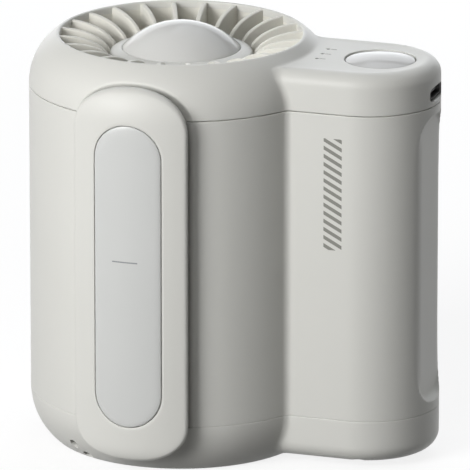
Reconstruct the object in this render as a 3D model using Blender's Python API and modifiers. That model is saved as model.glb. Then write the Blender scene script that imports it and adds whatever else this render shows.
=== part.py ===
"""Clip-on waist fan.

A round body draws air in through its base and blows it out of a vaned mouth on top.
A rounded column on its +X side holds two cells, the control board, the push button,
three indicator lamps and the charging socket. A sprung belt clip hangs on its -Y side.
The root empty carries everything. Its origin is the middle of the footprint, and the
fan's shaft is the Z axis of the empty below it.
"""

import math

import bmesh
import bpy
from mathutils import Matrix, Vector

MM = 0.001

# Size at which an axis is drawn
AXES_SIZE = 10.0 * MM

# Clearances
FIT = 0.3 * MM
SEAM_GAP = 0.3 * MM
RUN_GAP = 0.15 * MM

# How far a cutter passes the face that it cuts
PAST = 1.0 * MM

# Round body
AIRWAY_R = 33.6 * MM
RIM_BAND = 0.8 * MM
BODY_H = 115.4 * MM
SHOULDER_H = 14.0 * MM
SHOULDER_INSET = 7.7 * MM
BASE_H = 14.3 * MM
BASE_INSET = 6.9 * MM
WALL = 2.0 * MM
DUCT_WALL = 1.2 * MM
INTAKE_R = 28.5 * MM

# Cells
CELL_R = 9.2 * MM
CELL_H = 65.0 * MM
CELL_GAP = 1.6 * MM
CELL_1_OFFSET = 8.0 * MM
CELL_2_OFFSET = 5.5 * MM
CELL_ROOM = 0.6 * MM
TRAY_T = 2.4 * MM
LINK_T = 0.3 * MM
LINK_HALF_WIDTH = 3.5 * MM

# Column round the cells
COLUMN_BOTTOM = 1.9 * MM
COLUMN_TOP_DROP = 2.6 * MM
COLUMN_TOP_EDGE = 4.0 * MM
COLUMN_BOTTOM_EDGE = 4.8 * MM
JUNCTION_FILLET = 2.6 * MM
RECESS_DEPTH = 2.3 * MM
RECESS_WALL = 1.5 * MM
RECESS_HALF_WIDTH = 9.3 * MM
RECESS_END_GAP = 2.5 * MM
RECESS_CORNER_R = 5.6 * MM
END_ROOM = 2.3 * MM

# Outlet vanes and hub
VANE_COUNT = 24
VANE_T = 1.4 * MM
VANE_ANGLE = math.radians(6.25)
VANE_TOP_DROP = 0.4 * MM
VANE_FALL = 7.6 * MM
VANE_DEPTH = 19.0 * MM
OUTLET_RING_H = 21.0 * MM
HUB_R = 19.7 * MM
HUB_TOP_DROP = 5.0 * MM
HUB_BEVEL = 0.5 * MM
HUB_RISE = 0.8 * MM
HUB_H = 23.5 * MM
HUB_WALL = 1.6 * MM
HUB_FLOOR_T = 2.5 * MM
HUB_SKIRT = 2.0 * MM
CAP_R = 16.3 * MM
CAP_RISE = 7.1 * MM
CAP_T = 1.5 * MM
CAP_SKIRT = 3.0 * MM

# Motor
SHAFT_R = 1.0 * MM
BEARING_R = 2.9 * MM
BEARING_H = 4.0 * MM
TUBE_WALL = 0.8 * MM
TUBE_REACH = 20.0 * MM
TUBE_FLANGE_R = 6.5 * MM
TUBE_FLANGE_T = 1.2 * MM
SHAFT_STAND = 1.0 * MM
STATOR_CORE_R = 7.0 * MM
STATOR_H = 10.0 * MM
STATOR_DROP = 3.0 * MM
STATOR_TEETH = 9
TOOTH_HALF_ANGLE = math.radians(15.0)
TOOTH_STEM_HALF_ANGLE = math.radians(7.0)
TOOTH_ROOT_HALF_ANGLE = math.radians(12.6)
TOOTH_HEAD = 1.6 * MM
AIR_GAP = 0.7 * MM
MAGNET_T = 1.5 * MM
MAGNET_OVERLAP = 1.0 * MM
BELL_T = 0.9 * MM
BELL_BOSS_R = 2.6 * MM
MOTOR_BOARD_R = 13.5 * MM
MOTOR_BOARD_T = 1.2 * MM

# Impeller
BLADE_COUNT = 7
BLADE_T = 1.5 * MM
BLADE_H = 20.0 * MM
BLADE_SWEEP = math.radians(34.0)
BLADE_SWEEP_TAPER = 0.18
BLADE_HEIGHT_TAPER = 0.25
BLADE_CAMBER = 0.35
BLADE_SWELL = 1.5
TIP_GAP = 0.8 * MM
IMPELLER_HUB_DROP = 0.3 * MM
IMPELLER_HUB_WALL = 2.2 * MM
IMPELLER_FLOOR_T = 2.4 * MM
IMPELLER_TOP_GAP = 1.6 * MM
NOSE_H = 11.0 * MM

# Control board and charging socket
BOARD_T = 1.2 * MM
BOARD_SEAM_GAP = 0.6 * MM
BOARD_DUCT_GAP = 2.7 * MM
BOARD_HALF_WIDTH = 13.0 * MM
BOARD_CORNER_R = 3.0 * MM
SOCKET_HALF_WIDTH = 4.5 * MM
SOCKET_H = 3.1 * MM
SOCKET_LENGTH = 7.4 * MM
SOCKET_SET_BACK = 0.8 * MM
SOCKET_SKIN = 0.3 * MM
SOCKET_BACK_T = 1.0 * MM
TONGUE_HALF_WIDTH = 3.3 * MM
TONGUE_T = 0.7 * MM
TONGUE_SET_BACK = 1.0 * MM

# Button, its switch and the indicator lamps
BUTTON_INSET = 16.6 * MM
BUTTON_R = 9.6 * MM
BUTTON_RISE = 0.6 * MM
BUTTON_EDGE_DROP = 0.7 * MM
BUTTON_SKIN = 1.3 * MM
BUTTON_FLANGE = 1.2 * MM
BUTTON_FLANGE_T = 1.0 * MM
BUTTON_STEM_R = 1.6 * MM
BUTTON_TRAVEL = 0.5 * MM
SWITCH_HALF = 3.1 * MM
SWITCH_H = 3.4 * MM
SWITCH_FLOOR_T = 1.0 * MM
PLUNGER_R = 1.4 * MM
LAMP_X = 41.0 * MM
LAMP_PITCH = 5.1 * MM
LAMP_R = 0.55 * MM
LAMP_BAR_HALF = 1.5 * MM
LAMP_BAR_T = 1.4 * MM
LED_HALF = 0.8 * MM
LED_H = 0.7 * MM

# Screws
SCREW_R = 0.9 * MM
SCREW_HEAD_R = 1.7 * MM
SCREW_HEAD_H = 1.3 * MM
BOSS_R = 2.4 * MM
BOSS_H = 10.0 * MM
THREAD_FLOOR_T = 1.5 * MM
SCREW_TIP_ROOM = 1.0 * MM
COVER_SCREW_ANGLES = [math.radians(a) for a in (75.0, 180.0)]
COLUMN_SCREW_SHIFT = 2.5 * MM
COVER_SCREW_SEAT = 4.5 * MM
BOARD_SCREW_Y = 10.4 * MM
BOARD_SCREW_INSET = 8.0 * MM
BOARD_BOSS_R = 2.1 * MM

# Belt clip
CLIP_GAP = 1.1 * MM
CLIP_T = 3.3 * MM
CLIP_HALF_WIDTH = 17.0 * MM
CLIP_BOTTOM = 4.8 * MM
CLIP_TOP_DROP = 4.0 * MM
CLIP_TOP_CORNER = 12.0 * MM
CLIP_BOTTOM_CORNER = 10.0 * MM
CLIP_LIP_H = 4.5 * MM
CLIP_LIP_ROUND = 2.0 * MM
CLIP_LIP_BEVEL = 0.55 * MM
FACET_DEPTH = 3.3 * MM
FACET_WALL = 1.8 * MM
PIVOT_BELOW_SEAM = 5.4 * MM
PIN_R = 1.0 * MM
EAR_WALL = 0.9 * MM
EAR_T = 2.0 * MM
EAR_INNER_X = 6.8 * MM
WELL_HALF_HEIGHT = 4.2 * MM
WELL_MARGIN = 1.0 * MM
WELL_PAD_T = 1.9 * MM
PIVOT_STAND = 2.9 * MM
INLAY_HALF_WIDTH = 9.75 * MM
INLAY_BOTTOM_INSET = 10.0 * MM
INLAY_TOP_INSET = 10.5 * MM
INLAY_T = 0.6 * MM
POCKET_ROOM = 0.4 * MM
POCKET_SLOPE = 2.0 * MM
SPRING_WIRE_R = 0.35 * MM
SPRING_MEAN_R = 1.75 * MM
SPRING_TURNS = 4
SPRING_LEG = 3.4 * MM

# Intake grille
GRILLE_T = 1.5 * MM
GRILLE_SPOKES = 16
GRILLE_CENTRE_R = 9.0 * MM
GRILLE_BAR = 1.6 * MM

# Lanyard eyelet
EYELET_ANGLE = math.radians(-119.0)
EYELET_Z = 3.1 * MM
EYELET_R = 2.1 * MM
EYELET_HOLE_R = 0.75 * MM

# Wires
WIRE_R = 0.6 * MM
WIRE_HOLE_R = 1.0 * MM
WIRE_BEND = 1.2 * MM
LEAD_BOARD_INSET = 2.0 * MM
LEAD_HUB_INSET = 3.0 * MM
LEAD_DUCT_GAP = 1.6 * MM
CELL_LEAD_RISE = 8.0 * MM
CELL_LEAD_JOG_END = 14.0 * MM
CELL_LEAD_JOG = 1.0 * MM

# Facets
ROUND = 48
SMALL_ROUND = 20
PIN_ROUND = 12
MAIN_STEPS = 40
END_STEPS = 12
FILLET_STEPS = 3
EDGE_STEPS = 3
SHOULDER_STEPS = 5
LEVEL_SPACING = 0.8 * MM
CELL_STEPS = 32
TRAY_STEPS = 10
LINK_STEPS = 6
CORNER_STEPS = 6
STADIUM_STEPS = 8
EAR_STEPS = 8
VANE_STEPS = 5
DOME_STEPS = 5
BUTTON_STEPS = 4
NOSE_STEPS = 4
SLOT_STEPS = 3
CLIP_STEPS = 5
BLADE_STATIONS = 4
CHORD_STEPS = 4
EYELET_SIDES = 8
SPRING_STEPS = 10
BOARD_ARC_STEPS = 24

# Share of the half width that a stadium's corner takes, so that its sides keep a length
NEARLY_ROUND = 0.98

# Places worked out from the sizes
BODY_R = AIRWAY_R + RIM_BAND + SHOULDER_INSET
DUCT_R = AIRWAY_R + DUCT_WALL
UPPER_SEAM = BODY_H - SHOULDER_H
LOWER_SEAM = BASE_H
COLUMN_TOP = BODY_H - COLUMN_TOP_DROP
CLIP_TOP = BODY_H - CLIP_TOP_DROP
INLAY_BOTTOM = CLIP_BOTTOM + INLAY_BOTTOM_INSET
INLAY_TOP = CLIP_TOP - INLAY_TOP_INSET
COLUMN_R = CELL_1_OFFSET + CELL_R + CELL_ROOM + WALL
CELL_1_X = math.sqrt((DUCT_R + FIT + CELL_R) ** 2 - CELL_1_OFFSET ** 2)
CELL_2_X = CELL_1_X + math.sqrt((2 * CELL_R + CELL_GAP) ** 2 - (CELL_1_OFFSET + CELL_2_OFFSET) ** 2)
CAVITY_END_X = CELL_2_X + CELL_R + CELL_ROOM + END_ROOM
COLUMN_END = CAVITY_END_X + RECESS_WALL + RECESS_DEPTH
COLUMN_X = COLUMN_END - COLUMN_R
CELLS = [(CELL_1_X, -CELL_1_OFFSET), (CELL_2_X, CELL_2_OFFSET)]
CLIP_INNER_R = BODY_R + CLIP_GAP
CLIP_OUTER_R = CLIP_INNER_R + CLIP_T
FACET_Y = -(BODY_R - FACET_DEPTH)
WELL_FLOOR_Y = FACET_Y + FACET_WALL
PIVOT_Y = WELL_FLOOR_Y - PIVOT_STAND
PIVOT_Z = UPPER_SEAM - PIVOT_BELOW_SEAM
HUB_TOP = BODY_H - HUB_TOP_DROP
HUB_BOTTOM = HUB_TOP - HUB_H
HUB_FLOOR_TOP = HUB_BOTTOM + HUB_SKIRT + HUB_FLOOR_T
TUBE_R = BEARING_R + FIT + TUBE_WALL
TUBE_TOP = HUB_FLOOR_TOP + MOTOR_BOARD_T + 2 * FIT
TUBE_BOTTOM = HUB_FLOOR_TOP - HUB_FLOOR_T - TUBE_REACH
STATOR_TOP = HUB_FLOOR_TOP - HUB_FLOOR_T - TUBE_FLANGE_T - 2 * FIT - STATOR_DROP
IMPELLER_HUB_R = HUB_R - IMPELLER_HUB_DROP
BELL_R = IMPELLER_HUB_R - IMPELLER_HUB_WALL - 2 * FIT
BELL_IN_R = BELL_R - BELL_T
MAGNET_IN_R = BELL_IN_R - FIT - MAGNET_T
STATOR_R = MAGNET_IN_R - AIR_GAP
IMPELLER_TOP = HUB_BOTTOM - IMPELLER_TOP_GAP
BELL_FLOOR_TOP = TUBE_BOTTOM - 2 * FIT
BELL_BOTTOM = BELL_FLOOR_TOP - BELL_T
IMPELLER_FLOOR_TOP = BELL_BOTTOM - FIT
IMPELLER_BOTTOM = IMPELLER_FLOOR_TOP - IMPELLER_FLOOR_T
BOARD_BOTTOM = UPPER_SEAM + BOARD_SEAM_GAP
BOARD_TOP = BOARD_BOTTOM + BOARD_T
DECK_UNDER = COLUMN_TOP - WALL
BUTTON_X = COLUMN_END - BUTTON_INSET
BOARD_START_X = DUCT_R + BOARD_DUCT_GAP
BOARD_SCREW_X = BOARD_START_X + BOARD_SCREW_INSET
CELL_BOTTOM = COLUMN_BOTTOM + WALL + FIT + TRAY_T + LINK_T + 2 * FIT
CELL_TOP = CELL_BOTTOM + CELL_H
REACH = 2 * (BODY_H + BODY_R)
FOOTPRINT_X = (COLUMN_END - BODY_R) / 2
FOOTPRINT_Y = (BODY_R - CLIP_OUTER_R) / 2


def clear_scene():
    for obj in list(bpy.data.objects):
        bpy.data.objects.remove(obj, do_unlink=True)


def collection(name):
    group = bpy.data.collections.new(name)
    bpy.context.scene.collection.children.link(group)
    return group


def material(name, color, roughness, metallic=0.0):
    made = bpy.data.materials.new(name)
    made.use_nodes = True
    shader = made.node_tree.nodes["Principled BSDF"]
    shader.inputs["Base Color"].default_value = (*color, 1.0)
    shader.inputs["Roughness"].default_value = roughness
    shader.inputs["Metallic"].default_value = metallic
    made.diffuse_color = (*color, 1.0)
    return made


def arc(x, y, radius, start, end, steps):
    """Points on an arc from start to end, the end left out."""
    angles = [start + (end - start) * i / steps for i in range(steps)]
    return [(x + radius * math.cos(a), y + radius * math.sin(a)) for a in angles]


def circle(x, y, radius, steps=SMALL_ROUND):
    return arc(x, y, radius, 0.0, math.tau, steps)


def rounded_box(low, high, corners, steps=4):
    """Rounded rectangle; corners holds the lower and the upper corner radius."""
    (x0, y0), (x1, y1) = low, high
    lower, upper = corners
    points = arc(x1 - lower, y0 + lower, lower, -math.pi / 2, 0.0, steps) + [(x1, y0 + lower)]
    points += arc(x1 - upper, y1 - upper, upper, 0.0, math.pi / 2, steps) + [(x1 - upper, y1)]
    points += arc(x0 + upper, y1 - upper, upper, math.pi / 2, math.pi, steps) + [(x0, y1 - upper)]
    points += arc(x0 + lower, y0 + lower, lower, math.pi, 1.5 * math.pi, steps) + [(x0 + lower, y0)]
    return points


class Model:
    """Builds the objects and files them under the part or the cutters."""

    def __init__(self):
        self.parts = collection("clip_on_fan")
        self.cutters = collection("cutters")
        self.root = self.empty("clip_on_fan_root", None, (0.0, 0.0, 0.0))
        self.axis = self.empty("shaft_line", self.root, (-FOOTPRINT_X, -FOOTPRINT_Y, 0.0))

    def empty(self, name, parent, place):
        made = bpy.data.objects.new(name, None)
        made.empty_display_size = AXES_SIZE
        made.location = place
        made.parent = parent
        self.parts.objects.link(made)
        return made

    def object(self, name, mesh, cutter=False, parent=None):
        made = bpy.data.objects.new(name, mesh)
        made.parent = parent or self.axis
        if cutter:
            made.hide_render = True
            made.display_type = "WIRE"
            self.cutters.objects.link(made)
        else:
            self.parts.objects.link(made)
        return made

    def box(self, name, low, high, cutter=False):
        mesh = bpy.data.meshes.new(name)
        shape = bmesh.new()
        bmesh.ops.create_cube(shape, size=1.0)
        size = [b - a for a, b in zip(low, high)]
        middle = [(a + b) / 2 for a, b in zip(low, high)]
        shape.transform(Matrix.Translation(middle) @ Matrix.Diagonal((*size, 1.0)))
        shape.to_mesh(mesh)
        shape.free()
        return self.object(name, mesh, cutter)

    def cylinder(self, name, radius, start, end, steps=SMALL_ROUND, cutter=False):
        start, end = Vector(start), Vector(end)
        mesh = bpy.data.meshes.new(name)
        shape = bmesh.new()
        bmesh.ops.create_cone(shape, cap_ends=True, segments=steps, radius1=radius,
                              radius2=radius, depth=(end - start).length)
        turn = Vector((0.0, 0.0, 1.0)).rotation_difference(end - start).to_matrix().to_4x4()
        shape.transform(Matrix.Translation((start + end) / 2) @ turn)
        shape.to_mesh(mesh)
        shape.free()
        return self.object(name, mesh, cutter)

    def turned(self, name, profile, place=(0.0, 0.0), steps=ROUND, cutter=False):
        """A profile of (radius, height) points, down its outer side, turned about Z.

        It is closed on itself, unless it starts and ends on the axis."""
        mesh = bpy.data.meshes.new(name)
        shape = bmesh.new()
        points = [shape.verts.new((radius, 0.0, height)) for radius, height in profile]
        on_axis = profile[0][0] == 0.0 and profile[-1][0] == 0.0
        pairs = list(zip(points, points[1:]))
        if not on_axis:
            pairs.append((points[-1], points[0]))
        for pair in pairs:
            shape.edges.new(pair)
        shape.to_mesh(mesh)
        shape.free()
        made = self.object(name, mesh, cutter)
        screw = made.modifiers.new("turn", "SCREW")
        screw.steps = steps
        screw.render_steps = steps
        screw.use_merge_vertices = True
        screw.merge_threshold = 0.00001
        self.settle(made)
        made.location = (*place, 0.0)
        return made

    def settle(self, made):
        """Replaces an object's modifiers by the mesh that they give."""
        bpy.context.view_layer.update()
        graph = bpy.context.evaluated_depsgraph_get()
        mesh = bpy.data.meshes.new_from_object(made.evaluated_get(graph))
        made.modifiers.clear()
        made.data = mesh
        shape = bmesh.new()
        shape.from_mesh(mesh)
        bmesh.ops.remove_doubles(shape, verts=shape.verts, dist=0.000002)
        shape.to_mesh(mesh)
        shape.free()

    def flat(self, name, outlines, low, high, along="Z", cutter=False):
        """Outlines filled and given a thickness from low to high.

        Along Z an outline is (x, y), along X it is (y, z) and along Y it is (x, z)."""
        curve = bpy.data.curves.new(name, "CURVE")
        curve.dimensions = "2D"
        curve.fill_mode = "BOTH"
        curve.extrude = (high - low) / 2
        for points in outlines:
            spline = curve.splines.new("POLY")
            spline.points.add(len(points) - 1)
            for point, (u, v) in zip(spline.points, points):
                point.co = (u, v, 0.0, 1.0)
            spline.use_cyclic_u = True
        drawn = bpy.data.objects.new(name + "_outline", curve)
        self.cutters.objects.link(drawn)
        bpy.context.view_layer.update()
        graph = bpy.context.evaluated_depsgraph_get()
        mesh = bpy.data.meshes.new_from_object(drawn.evaluated_get(graph))
        bpy.data.objects.remove(drawn, do_unlink=True)
        shape = bmesh.new()
        shape.from_mesh(mesh)
        bmesh.ops.remove_doubles(shape, verts=shape.verts, dist=0.000002)
        shape.transform(Matrix.Translation((0.0, 0.0, (low + high) / 2)))
        if along == "X":
            shape.transform(Matrix(((0, 0, 1, 0), (1, 0, 0, 0), (0, 1, 0, 0), (0, 0, 0, 1))))
        if along == "Y":
            shape.transform(Matrix(((1, 0, 0, 0), (0, 0, 1, 0), (0, 1, 0, 0), (0, 0, 0, 1))))
            bmesh.ops.reverse_faces(shape, faces=shape.faces)
        shape.to_mesh(mesh)
        shape.free()
        return self.object(name, mesh, cutter)

    def loft(self, name, sections, cutter=False):
        """A closed solid through rings of equal point counts, from bottom to top."""
        mesh = bpy.data.meshes.new(name)
        shape = bmesh.new()
        rings = [[shape.verts.new(point) for point in section] for section in sections]
        count = len(rings[0])
        for lower, upper in zip(rings, rings[1:]):
            for i in range(count):
                j = (i + 1) % count
                shape.faces.new((lower[i], lower[j], upper[j], upper[i]))
        shape.faces.new(list(reversed(rings[0])))
        shape.faces.new(rings[-1])
        bmesh.ops.remove_doubles(shape, verts=shape.verts, dist=0.000002)
        shape.to_mesh(mesh)
        shape.free()
        return self.object(name, mesh, cutter)

    def wire(self, name, points, radius, resolution=1):
        curve = bpy.data.curves.new(name, "CURVE")
        curve.dimensions = "3D"
        curve.bevel_depth = radius
        curve.bevel_resolution = resolution
        curve.use_fill_caps = True
        spline = curve.splines.new("POLY")
        spline.points.add(len(points) - 1)
        for point, place in zip(spline.points, points):
            point.co = (*place, 1.0)
        made = bpy.data.objects.new(name, curve)
        made.parent = self.axis
        self.parts.objects.link(made)
        return made

    def combine(self, target, other, operation):
        change = target.modifiers.new(other.name, "BOOLEAN")
        change.operation = operation
        change.object = other
        change.solver = "EXACT"
        return target

    def cut(self, target, *others):
        for other in others:
            self.combine(target, other, "DIFFERENCE")

    def join(self, target, *others):
        for other in others:
            self.combine(target, other, "UNION")

    def common(self, target, other):
        self.combine(target, other, "INTERSECT")


def finish(made, finish_material, parent=None):
    """Gives a piece its material, smooth round faces and, if it moves, its pivot."""
    made.data.materials.clear()
    made.data.materials.append(finish_material)
    if made.type == "MESH":
        made.data.shade_smooth()
        made.data.set_sharp_from_angle(angle=math.radians(30.0))
    if parent is not None:
        offset = parent.matrix_local.translation
        if made.type == "MESH" and not made.modifiers:
            made.data.transform(Matrix.Translation(made.location - offset))
            made.location = (0.0, 0.0, 0.0)
        else:
            made.location = made.location - offset
        made.parent = parent
    return made


def inset_arc(height, inset, distance):
    """How far an arc has come in, a distance along the height that it curves over."""
    radius = (height ** 2 + inset ** 2) / (2 * inset)
    return radius - math.sqrt(radius ** 2 - distance ** 2)


def main_radius(z):
    if z > UPPER_SEAM:
        return BODY_R - inset_arc(SHOULDER_H, SHOULDER_INSET, z - UPPER_SEAM)
    if z < LOWER_SEAM:
        return BODY_R - inset_arc(BASE_H, BASE_INSET, LOWER_SEAM - z)
    return BODY_R


def body_ring(main_r, column_r, fillet, z, with_column):
    """The body's outline at one height: the round body, the column and their fillets."""
    side = column_r + fillet
    fillet_x = math.sqrt((main_r + fillet) ** 2 - side ** 2)
    tangent = math.atan2(side, fillet_x)
    quarter = math.pi / 2
    points = arc(0.0, 0.0, main_r, tangent, math.tau - tangent, MAIN_STEPS)
    column = arc(fillet_x, -side, fillet, math.pi - tangent, quarter, FILLET_STEPS)
    column += [(fillet_x, -column_r)]
    column += arc(COLUMN_X, 0.0, column_r, -quarter, quarter, END_STEPS)
    column += [(COLUMN_X, column_r)]
    column += arc(fillet_x, side, fillet, -quarter, tangent - math.pi, FILLET_STEPS)
    if not with_column:
        turns = [math.atan2(y, x) for x, y in column]
        column = [(main_r * math.cos(a), main_r * math.sin(a)) for a in turns]
    return [(x, y, z) for x, y in points + column]


def body_sections(wall):
    """Rings of the outer form, or of the cavity where wall isn't zero."""
    low, high = wall, BODY_H - wall
    column_low, column_high = COLUMN_BOTTOM + wall, COLUMN_TOP - wall
    low_edge, high_edge = COLUMN_BOTTOM_EDGE - wall, COLUMN_TOP_EDGE - wall
    keys = [low, column_low, LOWER_SEAM, UPPER_SEAM, column_high, high]
    heights = [low + (LOWER_SEAM - low) * (1 - math.cos(math.pi / 2 * i / SHOULDER_STEPS))
               for i in range(1, SHOULDER_STEPS)]
    heights += [UPPER_SEAM + (high - UPPER_SEAM) * math.sin(math.pi / 2 * i / SHOULDER_STEPS)
                for i in range(1, SHOULDER_STEPS)]
    for step in range(1, EDGE_STEPS + 1):
        part = math.cos(math.pi / 2 * step / EDGE_STEPS)
        heights.append(column_low + low_edge * (1 - part))
        heights.append(column_high - high_edge * (1 - part))
    spaced = list(keys)
    for height in heights:
        if low < height < high and all(abs(height - other) > LEVEL_SPACING for other in spaced):
            spaced.append(height)
    sections = []
    for z in sorted(spaced):
        main_r = main_radius(z) - wall
        if wall:
            main_r = max(main_r, DUCT_R + FIT)
        below = max(column_low + low_edge - z, 0.0)
        above = max(z - column_high + high_edge, 0.0)
        inset = low_edge - math.sqrt(max(low_edge ** 2 - below ** 2, 0.0))
        inset += high_edge - math.sqrt(max(high_edge ** 2 - above ** 2, 0.0))
        inset = min(inset, max(low_edge, high_edge))
        column_r = COLUMN_R - wall - inset
        fillet = JUNCTION_FILLET + wall + inset
        rings = [False, True] if z == column_low else [True, False] if z == column_high else \
            [column_low < z < column_high]
        for with_column in rings:
            sections.append(body_ring(main_r, column_r, fillet, z, with_column))
    return sections


def body_forms(model):
    """The body's outer form and its cavity, which the three covers are cut from."""
    outer = model.loft("outer_form", body_sections(0.0), cutter=True)
    cavity = model.loft("cavity_form", body_sections(WALL), cutter=True)
    flat_back = model.box("cavity_flat", (-REACH, -REACH, -REACH), (REACH, WELL_FLOOR_Y, REACH), True)
    flat_end = model.box("cavity_end", (CAVITY_END_X, -REACH, -REACH), (2 * REACH, REACH, REACH), True)
    model.cut(cavity, flat_back, flat_end)
    return outer, cavity


def clip_outline(grow):
    """The clip's face outline, grown by a margin."""
    low = (-CLIP_HALF_WIDTH - grow, CLIP_BOTTOM - grow)
    high = (CLIP_HALF_WIDTH + grow, CLIP_TOP + grow)
    return rounded_box(low, high, (CLIP_BOTTOM_CORNER + grow, CLIP_TOP_CORNER + grow), CORNER_STEPS)


def ear_outline(radius, root_y):
    """Side view of an ear: a round nose about the pin and a straight root."""
    facing = math.pi if root_y > PIVOT_Y else 0.0
    start = facing - math.pi / 2
    nose = arc(PIVOT_Y, PIVOT_Z, radius, start, start + math.pi, EAR_STEPS)
    last = (PIVOT_Y + radius * math.cos(start + math.pi), PIVOT_Z + radius * math.sin(start + math.pi))
    return nose + [last, (root_y, last[1]), (root_y, nose[0][1])]


def screw_places():
    """Cover screws stand against the wall: two behind the duct and one beside the cells."""
    radius = BODY_R - WALL - BOSS_R + FIT / 3
    radius = max(radius, DUCT_R + FIT + BOSS_R)
    places = [(radius * math.cos(a), radius * math.sin(a)) for a in COVER_SCREW_ANGLES]
    places.append((COLUMN_X + COLUMN_SCREW_SHIFT, -(COLUMN_R - WALL - BOSS_R + FIT / 3)))
    return places


def make_bottom_cover(model, outer, cavity, plastic):
    middle = model.loft("middle_of_wall", body_sections(WALL / 2), cutter=True)
    cover = model.box("bottom_cover", (-REACH, -REACH, -PAST), (REACH, REACH, LOWER_SEAM - SEAM_GAP / 2))
    model.common(cover, outer)
    model.cut(cover, cavity)
    intake = model.cylinder("intake_hole", INTAKE_R, (0, 0, -PAST), (0, 0, WALL + PAST), ROUND, True)
    model.cut(cover, intake)
    for number, (x, y) in enumerate(screw_places(), 1):
        top = LOWER_SEAM - SEAM_GAP / 2
        boss = model.cylinder(f"cover_boss_{number}", BOSS_R, (x, y, WALL / 2), (x, y, top - FIT),
                              SMALL_ROUND, True)
        model.common(boss, middle)
        model.join(cover, boss)
        seat = top - COVER_SCREW_SEAT
        head_room = model.cylinder(f"cover_screw_well_{number}", SCREW_HEAD_R + FIT, (x, y, -PAST),
                                   (x, y, seat), SMALL_ROUND, True)
        bore = model.cylinder(f"cover_screw_bore_{number}", SCREW_R + FIT, (x, y, seat - PAST),
                               (x, y, top + PAST), PIN_ROUND, True)
        model.cut(cover, head_room, bore)
    model.cut(cover, eyelet_tunnel(model))
    return finish(cover, plastic)


def eyelet_tunnel(model):
    """A curved tunnel under the base rounding that leaves a bar for a lanyard."""
    around = Vector((math.cos(EYELET_ANGLE), math.sin(EYELET_ANGLE), 0.0))
    radius = (BASE_H ** 2 + BASE_INSET ** 2) / (2 * BASE_INSET)
    drop = (LOWER_SEAM - EYELET_Z) / radius
    normal = around * math.sqrt(1 - drop ** 2) + Vector((0.0, 0.0, -drop))
    along = Vector((0.0, 0.0, 1.0)).cross(around).normalized()
    slope = normal.cross(along).normalized()
    mouth = (along - slope).normalized()
    side = mouth.cross(normal)
    place = around * main_radius(EYELET_Z) + Vector((0.0, 0.0, EYELET_Z))
    mesh = bpy.data.meshes.new("eyelet_tunnel")
    shape = bmesh.new()
    rings = []
    for i in range(SMALL_ROUND):
        a = math.tau * i / SMALL_ROUND
        out = mouth * math.cos(a) + normal * math.sin(a)
        ring = []
        for k in range(EYELET_SIDES):
            b = math.tau * k / EYELET_SIDES
            point = place + out * (EYELET_R + EYELET_HOLE_R * math.cos(b)) + side * EYELET_HOLE_R * math.sin(b)
            ring.append(shape.verts.new(point))
        rings.append(ring)
    for i in range(SMALL_ROUND):
        here, there = rings[i], rings[(i + 1) % SMALL_ROUND]
        for k in range(EYELET_SIDES):
            j = (k + 1) % EYELET_SIDES
            shape.faces.new((here[k], here[j], there[j], there[k]))
    bmesh.ops.recalc_face_normals(shape, faces=shape.faces)
    shape.to_mesh(mesh)
    shape.free()
    return model.object("eyelet_tunnel", mesh, True)


def make_housing(model, outer, cavity, plastic):
    bottom, top = LOWER_SEAM + SEAM_GAP / 2, UPPER_SEAM - SEAM_GAP / 2
    housing = model.box("main_housing", (-REACH, -REACH, bottom), (REACH, REACH, top))
    model.common(housing, outer)
    model.cut(housing, cavity)
    facet = model.box("clip_facet", (-REACH, -REACH, -REACH), (REACH, FACET_Y, REACH), True)
    model.cut(housing, facet)
    well_x = EAR_INNER_X + 2 * EAR_T + FIT + 2 * WELL_MARGIN
    pad_low = (-well_x - WALL, FACET_Y + FACET_WALL / 2, PIVOT_Z - WELL_HALF_HEIGHT - WALL)
    pad_high = (well_x + WALL, WELL_FLOOR_Y + WELL_PAD_T, PIVOT_Z + WELL_HALF_HEIGHT + WELL_MARGIN)
    pad = model.box("well_pad", pad_low, pad_high, True)
    well = model.box("hinge_well", (-well_x, -REACH, PIVOT_Z - WELL_HALF_HEIGHT),
                     (well_x, WELL_FLOOR_Y, PIVOT_Z + WELL_HALF_HEIGHT), True)
    model.join(housing, pad)
    model.cut(housing, well)
    for side in (-1, 1):
        ear_low, ear_high = sorted((side * EAR_INNER_X, side * (EAR_INNER_X + EAR_T)))
        outline = ear_outline(PIN_R + EAR_WALL, WELL_FLOOR_Y + WELL_PAD_T / 2)
        ear = model.flat(f"housing_ear_{'left' if side < 0 else 'right'}", [outline], ear_low, ear_high, "X", True)
        model.join(housing, ear)
    hole = model.cylinder("housing_pin_hole", PIN_R + FIT, (-well_x, PIVOT_Y, PIVOT_Z),
                          (well_x, PIVOT_Y, PIVOT_Z), PIN_ROUND, True)
    model.cut(housing, hole)
    recess_low, recess_high = LOWER_SEAM + RECESS_END_GAP, UPPER_SEAM - RECESS_END_GAP
    recess = model.flat("side_recess", [rounded_box((-RECESS_HALF_WIDTH, recess_low),
                        (RECESS_HALF_WIDTH, recess_high), (RECESS_CORNER_R, RECESS_CORNER_R))],
                        COLUMN_END - RECESS_DEPTH, COLUMN_END + PAST, "X", True)
    model.cut(housing, recess)
    for number, (x, y) in enumerate(screw_places(), 1):
        post = model.cylinder(f"housing_post_{number}", BOSS_R, (x, y, bottom),
                              (x, y, bottom + BOSS_H), SMALL_ROUND, True)
        thread = model.cylinder(f"housing_thread_{number}", SCREW_R + FIT, (x, y, bottom - PAST),
                                (x, y, bottom + BOSS_H - THREAD_FLOOR_T), PIN_ROUND, True)
        model.join(housing, post)
        model.cut(housing, thread)
    return finish(housing, plastic)


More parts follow.
